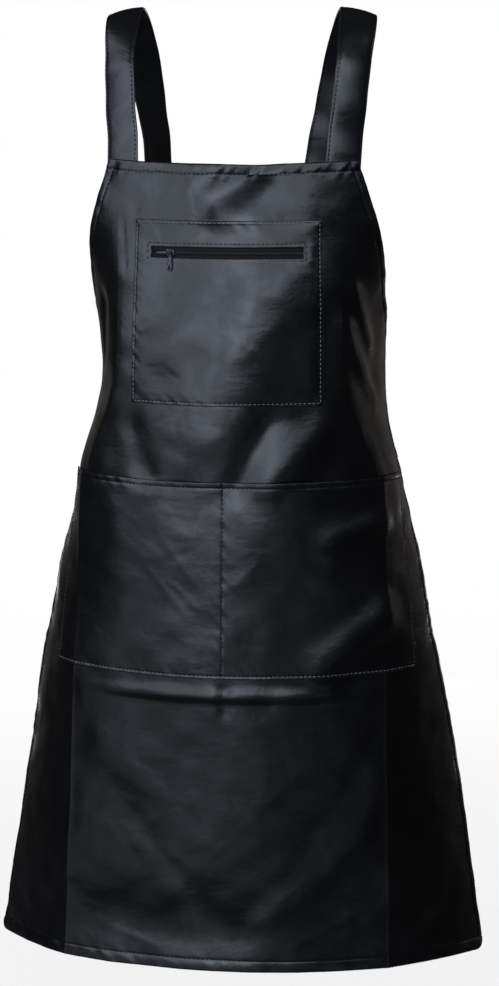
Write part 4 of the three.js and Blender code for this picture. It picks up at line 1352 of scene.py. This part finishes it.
# around, half the parting of the tapes
PARTING = ((-82, SHUT), (-77, SHUT), (-71, 1.4), (-65, 1.6), (-59, 1.5), (-56.4, 1.4), (-53.5, SHUT),
           (82, SHUT))


def parting(around):
    """Half the gap between the tapes."""
    stops, widths = zip(*PARTING)
    return np.interp(around, stops, widths)


def zip_point(around, up, out):
    """A point on the zip: up from its middle line and out from the tape's face."""
    around, up, out = np.broadcast_arrays(*(np.asarray(v, float) for v in (around, up, out)))
    return off_skin(around, ZIP_LINE + up, chest_stand_off(around, ZIP_LINE) - TAPE_DROP + out)


tape_around = spaced(*ZIP_ENDS, TAPE_STEP)
tape_rungs = np.linspace(0, 1, TAPE_RUNGS)
tapes = {}
for side, name in ((1, "zip_tape_upper_cloth"), (-1, "zip_tape_lower_cloth")):
    rungs = tape_rungs[::-1] if side > 0 else tape_rungs
    around = np.broadcast_to(tape_around[None, :], (len(rungs), len(tape_around)))
    up = parting(around) + (TAPE_HALF - parting(around)) * rungs[:, None]
    outer = zip_point(around, side * up, -TAPE_LINE_DEPTH * (np.abs(up - TAPE_LINE) < TAPE_LINE_HALF))
    inner = zip_point(around, side * up, -TAPE)
    tapes[side] = closed_sheet(name, outer, inner, [zip_cloth.material, zip_cloth.material],
                               flat_places(around, side * up), 0 * around)
print("tapes", ZIP_ENDS[1] - ZIP_ENDS[0], "mm long")


# %% Rods: the thing that loops, stitches and wires are made of
TIP_LENGTH = 0.7  # of a rod's radius
UPRIGHT = 0.9  # a rod whose rise is more than this share of its length counts as upright


def rod_mesh(paths, radius, sides=6):
    """Round rods along many short paths, all with the same number of points: points and faces."""
    paths = np.asarray(paths, float)
    count, steps = paths.shape[:2]
    radius = np.broadcast_to(np.asarray(radius, float), (steps,))
    along = np.gradient(paths, axis=1)
    along /= np.linalg.norm(along, axis=2, keepdims=True) + TINY
    chord = paths[:, -1] - paths[:, 0]
    upright = np.abs(chord[:, 2:3]) > UPRIGHT * np.linalg.norm(chord, axis=1, keepdims=True)
    helper = np.where(upright, (0.0, 1.0, 0.0), (0.0, 0.0, 1.0))[:, None, :]
    first = np.cross(along, np.broadcast_to(helper, along.shape))
    first /= np.linalg.norm(first, axis=2, keepdims=True) + TINY
    second = np.cross(along, first)
    turn = np.linspace(0, 2 * math.pi, sides, endpoint=False)
    ring = (np.cos(turn)[:, None] * first[:, :, None, :] + np.sin(turn)[:, None] * second[:, :, None, :])
    points = (paths[:, :, None, :] + radius[None, :, None, None] * ring).reshape(count, -1, 3)
    tips = np.stack([paths[:, 0] - along[:, 0] * radius[0] * TIP_LENGTH,
                     paths[:, -1] + along[:, -1] * radius[-1] * TIP_LENGTH], 1)
    points = np.concatenate([points, tips], 1)
    last = (steps - 1) * sides
    start, end = steps * sides, steps * sides + 1
    caps = [(start, (k + 1) % sides, k) for k in range(sides)]
    caps += [(end, last + k, last + (k + 1) % sides) for k in range(sides)]
    block = points.shape[1]
    every = [[i * block + p for p in f] for i in range(count) for f in hoops(steps, sides) + caps]
    return points.reshape(-1, 3), every


print("a rod of two steps has", len(rod_mesh([[(0, 0, 0), (1, 0, 0)]], 0.1)[1]), "faces")

# %% Coil
COIL_PITCH, COIL_END = 1.45, 2
OPEN_GAP = 0.5  # where the tapes part by more than this, the loops stay on their own side
LOOP_BACK, LOOP_PAST = 0.2, 0.75  # how far a loop stays short of the middle, or reaches past it
LOOP_FOOT, LOOP_KNEE, LOOP_HEAD = 2.0, 1.2, 0.5  # from the tape's edge, and from the loop's end
LOOP_OUT, LOOP_WIRE = (0.15, 0.62, 0.72, 0.3), (0.3, 0.42, 0.42, 0.34)

spots = np.arange(ZIP_ENDS[0] + COIL_END, ZIP_ENDS[1] - COIL_END, COIL_PITCH)
coil_loops = []
for side in (1, -1):
    shifted = spots + (COIL_PITCH / 2 if side > 0 else 0)
    gap = parting(shifted)
    reach = np.where(gap > OPEN_GAP, gap - LOOP_BACK, -LOOP_PAST)
    for spot, near, edge in zip(shifted, reach, gap):
        ups = side * np.array((edge + LOOP_FOOT, edge + LOOP_KNEE, near + LOOP_HEAD, near))
        coil_loops.append(zip_point(spot, ups, LOOP_OUT))
coil = new_piece("zip_coil", *rod_mesh(coil_loops, LOOP_WIRE), [nylon.material])
print("coil of", len(coil_loops), "loops")

# %% [markdown]
# ## Slider and puller
# The slider is two plates joined by a post, with a wire bail on top, and the puller is a stamped tab with a
# rolled eye that swings on the bail. They are small, but they are the only bright metal, so each edge is
# broken by a bevel that can catch the light. Both are drawn in a frame on the zip: along it, up the pocket
# and out of it. The puller's tab hangs from the bail, where the joint of the solid model turns.

# %% Gunmetal
GUNMETAL_SHADES = ((0.055, 0.055, 0.06), (0.2, 0.2, 0.207))

gunmetal = Finish("gunmetal")
metal_place = gunmetal.place()
scuffs = gunmetal.noise(gunmetal.stretched(metal_place, 1, 1, 0.25), 0.9, detail=5.0, roughness=0.65)
film = gunmetal.noise(metal_place, 4)
bright = gunmetal.ramp(scuffs, 0.5, 0.72)
gunmetal.surface(
    Base_Color=gunmetal.mix(bright, *GUNMETAL_SHADES),
    Roughness=0.28 + 0.2 * film - 0.06 * bright,
    Normal=gunmetal.bump(0.03 * scuffs),
    Metallic=1.0,
)
print("gunmetal:", len(gunmetal.tree.nodes), "nodes")


# %% Slabs and rings
def inset(loop, distance):
    """A loop of points in the plane, moved inwards."""
    run = unit(np.roll(loop, -1, 0) - np.roll(loop, 1, 0))
    return loop + distance * np.stack([-run[:, 1], run[:, 0]], 1)


def slab(outline, low, high, bevel, hole=None):
    """A flat plate with broken edges: outline and hole are loops of as many points, run anticlockwise."""
    loops = [(inset(outline, bevel), low), (outline, low + bevel), (outline, high - bevel),
             (inset(outline, bevel), high)]
    if hole is not None:
        loops += [(inset(hole, -bevel), high), (hole, high - bevel), (hole, low + bevel),
                  (inset(hole, -bevel), low)]
    count = len(outline)
    points = np.concatenate([np.column_stack([loop, np.full(count, z)]) for loop, z in loops])
    faces = hoops(len(loops), count, closed=hole is not None)
    if hole is None:
        faces += [list(range(count))[::-1], list(range(3 * count, 4 * count))]
    return points, faces


EYE_LIP, EYE_TURNS = 0.35, 28


def ring(inner, outer, half):
    """A rolled eye about the x axis, with rounded lips."""
    lip = EYE_LIP * (outer - inner)
    lower = [(inner, -half + lip), (inner + lip, -half), (outer - lip, -half), (outer, -half + lip)]
    radius, along = np.array(lower + [(r, -x) for r, x in lower[::-1]]).T
    angle = np.linspace(0, 2 * math.pi, EYE_TURNS, endpoint=False)[:, None]
    points = np.stack([along + 0 * angle, np.cos(angle) * radius, np.sin(angle) * radius], -1)
    return points.reshape(-1, 3), hoops(EYE_TURNS, len(radius), closed=True)


def gathered(parts):
    """Several meshes as one list of points and one of faces."""
    points, faces, start = [], [], 0
    for part_points, part_faces in parts:
        points.append(part_points)
        faces += [[start + int(p) for p in f] for f in part_faces]
        start += len(part_points)
    return np.concatenate(points), faces


print("an eye has", len(ring(1, 2, 1)[1]), "faces")

# %% Frame on the zip
SLIDER_AROUND = -55.0
zip_along = unit(skin(SLIDER_AROUND + NEARBY, ZIP_LINE) - skin(SLIDER_AROUND - NEARBY, ZIP_LINE))
zip_out = skin_out(SLIDER_AROUND, ZIP_LINE)
zip_up = unit(np.cross(zip_out, zip_along))
zip_seat = zip_point(SLIDER_AROUND, 0, 0)


def on_zip(points, shift=(0, 0, 0)):
    """Points given along the zip, up the pocket and out of it."""
    points = np.asarray(points) + shift
    return zip_seat + points @ np.stack([zip_along, zip_up, zip_out])


print("slider sits at", np.round(zip_seat, 1).tolist())

# %% Slider
PLATE_UNDER, PLATE_TOP, LOWER_TOP, LOWER_UNDER = 0.9, 1.8, -1.1, -1.7
PLATE_BEVEL, LOWER_BEVEL, POST_BEVEL, RAIL_BEVEL = 0.28, 0.2, 0.05, 0.12
RAIL_RISE, SUNK = 0.25, 0.2  # the post and the rail are sunk into the plates
BAIL_HALF, BAIL_WIRE, BAIL_SIDES, PIVOT = 3.1, 0.6, 12, 3.8
# half of the bail's way, from its foot to its top: inwards from its side, and out
BAIL_WAY = ((0, 1.5), (0, 2.6), (0.15, 3.3), (0.7, 3.75), (1.9, PIVOT))
# one end along the zip, half the width there, the other end, half the width there, radius of the corners
PLATE = (-5, 3.7, 4, 2.8, 1.4)
POST = (-4, 0.9, -2.4, 0.9, 0.4)
RAIL = (-4.6, 0.8, 3.6, 0.5, 0.4)
CORNER_STEPS = 5
SHARP_FROM = math.radians(50)  # edges that turn by more than this stay sharp


def wedge(back, back_half, front, front_half, radius):
    """A four-cornered outline with its corners rounded off, run anticlockwise."""
    right = [(back, -back_half), (front, -front_half)]
    corners = np.array(right + [(x, -y) for x, y in right[::-1]], float)
    outline = []
    for before, corner, after in zip(np.roll(corners, 1, 0), corners, np.roll(corners, -1, 0)):
        start = corner + radius * (before - corner) / np.linalg.norm(before - corner)
        end = corner + radius * (after - corner) / np.linalg.norm(after - corner)
        for t in np.linspace(0, 1, CORNER_STEPS):
            outline.append((1 - t) ** 2 * start + 2 * (1 - t) * t * corner + t**2 * end)
    return np.array(outline)


plate, post, rail = (wedge(*sizes) for sizes in (PLATE, POST, RAIL))
bail = [(inwards - BAIL_HALF, 0, out) for inwards, out in BAIL_WAY]
bail += [(-x, y, z) for x, y, z in bail[::-1]]
slider_points, slider_faces = gathered([
    slab(plate, PLATE_UNDER, PLATE_TOP, PLATE_BEVEL),
    slab(plate, LOWER_UNDER, LOWER_TOP, LOWER_BEVEL),
    slab(post, LOWER_TOP - SUNK, PLATE_UNDER + SUNK, POST_BEVEL),
    slab(rail, PLATE_TOP - SUNK, PLATE_TOP + RAIL_RISE, RAIL_BEVEL),
    rod_mesh([bail], BAIL_WIRE, BAIL_SIDES),
])
slider = new_piece("slider_metal", on_zip(slider_points), slider_faces, [gunmetal.material])
slider.data.set_sharp_from_angle(angle=SHARP_FROM)
print("slider:", len(slider_faces), "faces")

# %% Puller
PULLER_SHIFT, NECK_HALF, TIP_HALF, HOLE = 0.6, 1.4, 2.6, 1.2
TAB_THICK, TAB_BEVEL, TAB_POINTS = 1.1, 0.2, 48
TAB_END, NECK_TOP = -18.5, -1.4  # from the pivot
EYE = (1.15, 1.7, 1.5)  # inner and outer radius, half its width
TIP_MIDDLE = TAB_END + TIP_HALF


def tab_outline():
    """Outline of the tab, and its hole, as loops of as many points."""
    low = np.linspace(math.pi, 2 * math.pi, TAB_POINTS // 2)
    tip = np.stack([TIP_HALF * np.cos(low), TIP_MIDDLE + TIP_HALF * np.sin(low)], 1)
    side = np.linspace(0, 1, TAB_POINTS // 4 + 1)[1:, None]
    neck_left, neck_right = np.array((-NECK_HALF, NECK_TOP)), np.array((NECK_HALF, NECK_TOP))
    climb = tip[-1] + side * (neck_right - tip[-1])
    fall = neck_left + (side - side[0]) * (tip[0] - neck_left)
    outline = np.concatenate([tip, climb, fall])
    centre = np.array((0, TIP_MIDDLE))
    turn = np.linspace(math.pi, 3 * math.pi, len(outline), endpoint=False)
    even = np.stack([np.cos(turn), np.sin(turn)], 1)
    return outline, centre + HOLE * unit(0.5 * unit(outline - centre) + 0.5 * even)


tab, tab_hole = tab_outline()
puller_points, puller_faces = gathered([
    slab(tab, -TAB_THICK / 2, TAB_THICK / 2, TAB_BEVEL, tab_hole),
    ring(*EYE),
])
puller = new_piece("puller_metal", on_zip(puller_points, (PULLER_SHIFT, 0, PIVOT)), puller_faces,
                   [gunmetal.material])
puller.data.set_sharp_from_angle(angle=SHARP_FROM)
print("puller:", len(puller_faces), "faces")

# %% [markdown]
# ## Stitches
# Stitches tell the eye how big a garment is. A seam is a line on a piece, and along it each stitch is a short
# rod that rises out of the cloth, runs a few millimetres and dives in again. They are real geometry, so they
# cast their own tiny shadows and still show from the side. The thread is black; where the stitches catch the
# light they get a painted highlight: the chest pocket's outline, the lower side of its slot and the hip
# pocket's bottom take a grey copy of the thread, the hip pocket's sides a dimmer one. The hems, the rest of
# the slot, the hip pocket's mouth and middle and the straps have the black thread itself.

# %% Stitches along a line
STITCH_PITCH, LINE_STEP = 4.5, 1.5  # a stitch's length with its gap, and the step between points of a seam
STITCH_PARTS = np.array((-0.31, -0.2, 0.2, 0.31))  # of the pitch
STITCH_RISE = np.array((-0.12, 0.26, 0.26, -0.12))
THREAD = np.array((0.2, 0.4, 0.4, 0.2))


def stitch_paths(line, out):
    """Paths of the stitches along a line of points, with the outward direction at each point."""
    run = run_along(line)
    count = int(run[-1] / STITCH_PITCH)
    middles = (np.arange(count) + 0.5) * run[-1] / count
    at = middles[:, None] + STITCH_PITCH * STITCH_PARTS
    place = np.stack([np.interp(at, run, line[:, k]) for k in range(3)], -1)
    way = np.stack([np.interp(at, run, out[:, k]) for k in range(3)], -1)
    return place + STITCH_RISE[None, :, None] * way


def on_cloth(face_of, around, height):
    """Stitches along a line on the flat sheet, lying on a piece's face."""
    around, height = spread(around, height)
    return stitch_paths(face_of(around, height), skin_out(around, height))


def seam(name, groups, finish):
    """One piece from groups of stitches."""
    return new_piece(name, *rod_mesh(np.concatenate(groups), THREAD), [finish])


def level(half, height):
    """A level line on the flat sheet, as far to the left as to the right."""
    return spaced(-half, half, LINE_STEP), height


print("stitches of", STITCH_PITCH, "mm")

# %% Hem stitches
SIDE_LINE_STEP = 2.0


def behind(around, height):
    """Stitches of a hem on the sheet's inner side."""
    around, height = spread(around, height)
    back_face = sheet_face(around, height) - FOLDED * skin_out(around, dipped(height, around))
    return stitch_paths(back_face, -skin_out(around, height))


down = spaced(BIB_TOP - TOP_HEM, HEM_BOTTOM + BOTTOM_HEM, SIDE_LINE_STEP)
top_half = float(edge_line(BIB_TOP - TOP_HEM)) - SIDE_HEM
low_half = float(edge_line(HEM_BOTTOM + BOTTOM_HEM)) - SIDE_HEM
hem_lines = [
    level(top_half, BIB_TOP - TOP_HEM),
    level(low_half, HEM_BOTTOM + BOTTOM_HEM),
    (edge_line(down) - SIDE_HEM, down),
    (SIDE_HEM - edge_line(down), down),
]
hem_groups = [on_cloth(sheet_face, *line) for line in hem_lines] + [behind(*line) for line in hem_lines]
hem_stitches = seam("front_sheet_stitches", hem_groups, black_thread)
print("hem stitches:", sum(len(group) for group in hem_groups))

# %% Chest pocket stitches
chest_down = spaced(CHEST_TOP - POCKET_SEAM, CHEST_BOTTOM + POCKET_SEAM, LINE_STEP)
chest_top_half = float(chest_half(CHEST_TOP)) - POCKET_SEAM
chest_low_half = float(chest_half(CHEST_BOTTOM)) - POCKET_SEAM
slot_half = float(window_half(ZIP_LINE)) + WINDOW_SEAM
slot_up = spaced(WINDOW_BOTTOM - WINDOW_SEAM, WINDOW_TOP + WINDOW_SEAM, LINE_STEP)
chest_lines = [
    level(chest_top_half, CHEST_TOP - POCKET_SEAM),
    level(chest_low_half, CHEST_BOTTOM + POCKET_SEAM),
    (chest_half(chest_down) - POCKET_SEAM, chest_down),
    (POCKET_SEAM - chest_half(chest_down), chest_down),
    level(slot_half, WINDOW_BOTTOM - WINDOW_SEAM),
]
slot_lines = [
    level(slot_half, WINDOW_TOP + WINDOW_SEAM),
    (slot_half, slot_up),
    (-slot_half, slot_up),
]
chest_groups = [on_cloth(chest_face, *line) for line in chest_lines]
slot_groups = [on_cloth(chest_face, *line) for line in slot_lines]
# painted highlight: the chest pocket's outline and its slot's lower side take the lighter grey copy of the
# black thread
chest_stitches = seam("chest_pocket_stitches", chest_groups, painted_highlight_thread)
slot_stitches = seam("zip_slot_stitches", slot_groups, black_thread)
print("chest pocket stitches:", sum(len(group) for group in chest_groups + slot_groups))

# %% Hip pocket stitches
hip_down = spaced(HIP_TOP - HIP_STITCH, HIP_BOTTOM + POCKET_SEAM, LINE_STEP)


def across_hips(height):
    """Places along a level seam of the hip pocket, from its left edge to its right edge."""
    left, right = float(pocket_line(height, -1)), float(pocket_line(height, 1))
    return spaced(POCKET_SEAM - left, right - POCKET_SEAM, LINE_STEP)


hip_lines = [
    (across_hips(HIP_BOTTOM + POCKET_SEAM), HIP_BOTTOM + POCKET_SEAM),
    (pocket_line(hip_down, 1) - POCKET_SEAM, hip_down),
    (POCKET_SEAM - pocket_line(hip_down, -1), hip_down),
]
hip_groups = [on_cloth(hip_face, *line) for line in hip_lines]
# painted highlight: the hip pocket's bottom takes the grey copy of the black thread, its sides the dimmer
# copy
hip_stitches = seam("hip_pocket_stitches", hip_groups[:1], painted_highlight_thread)
flank_stitches = seam("hip_flank_stitches", hip_groups[1:], painted_dim_highlight_thread)
mouth_groups = [on_cloth(hip_face, across_hips(HIP_TOP - HIP_STITCH), HIP_TOP - HIP_STITCH),
                on_cloth(hip_face, 0 * hip_down, hip_down)]
mouth_stitches = seam("hip_mouth_stitches", mouth_groups, black_thread)
print("hip pocket stitches:", sum(len(group) for group in hip_groups + mouth_groups))

# %% Strap stitches
STITCH_SUNK = 0.3  # the stitches lie in the groove


def strip_seams(name, middle, width_way, out_way, bow, wave):
    """Stitches along both edges of a strip, on both of its faces."""
    run = run_along(middle)
    inset_by = STRAP_WIDTH / 2 - STRAP_SEAM
    drift = (wave * quick_wave(run, 0 * run) + bow * bend(inset_by))[:, None] * out_way
    groups = []
    for edge in (1, -1):
        for face_side in (1, -1):
            line = middle + drift + edge * inset_by * width_way
            line = line + face_side * (FOLDED / 2 - STITCH_SUNK) * out_way
            groups.append(stitch_paths(line, face_side * out_way))
    return seam(name, groups, black_thread)


belt_stitches = strip_seams("back_belt_stitches", *belt_frame, BELT_WAVE)
strap_stitches = {side: strip_seams(name, *strap_frames[side], STRAP_WAVE)
                  for side, name in ((1, "strap_right_stitches"), (-1, "strap_left_stitches"))}
print("strap stitches:", [len(piece.data.polygons) for piece in strap_stitches.values()])

# %% [markdown]
# ## Fasten everything to the frame
# Each fine piece takes the place of its solid, which stays in the physics only, and moves with the same body.
# The sizes that the cloth was cut to are worked out as well. The front's cut isn't a rectangle, so its area
# is worked out from the sections.

# %% Bodies and replaced solids
def fasten(piece, body, slot, *nodes):
    """Put a piece on a body, in place of the solids that are named. slot is not used."""
    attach(piece, body)
    if nodes:
        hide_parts(*nodes)


fasten(front_sheet, "apron", "pvc", "front_sheet")
fasten(chest_pocket, "apron", "pvc", "chest_pocket")
fasten(hip_pocket, "apron", "pvc", "hip_pocket")
fasten(belt, "apron", "strap_pvc", "back_belt")
fasten(straps[1], "apron", "strap_pvc", "strap_right")
fasten(straps[-1], "apron", "strap_pvc", "strap_left")
fasten(tapes[1], "apron", "zip_cloth", "zip_tape_upper")
fasten(tapes[-1], "apron", "zip_cloth", "zip_tape_lower")
fasten(coil, "apron", "zip_cloth")
fasten(slider, "apron", "enamel", "zip_slider")
fasten(puller, "puller", "enamel", "zip_puller")
for piece in (hem_stitches, chest_stitches, slot_stitches, hip_stitches, flank_stitches, mouth_stitches):
    fasten(piece, "apron", "pvc")
for piece in (belt_stitches, *strap_stitches.values()):
    fasten(piece, "apron", "strap_pvc")

# %% Cloth
CUT_STEPS = 400
levels = np.linspace(BIB_TOP, HEM_BOTTOM, CUT_STEPS)
widths = 2 * edge_line(levels)
cut_area = float(np.sum(0.5 * (widths[1:] + widths[:-1]) * -np.diff(levels))) * MM**2
chest_cut = (2 * float(chest_half(CHEST_BOTTOM)) * MM, (CHEST_TOP - CHEST_BOTTOM) * MM)
hip_width = float(pocket_line(HIP_BOTTOM, 1) + pocket_line(HIP_BOTTOM, -1))
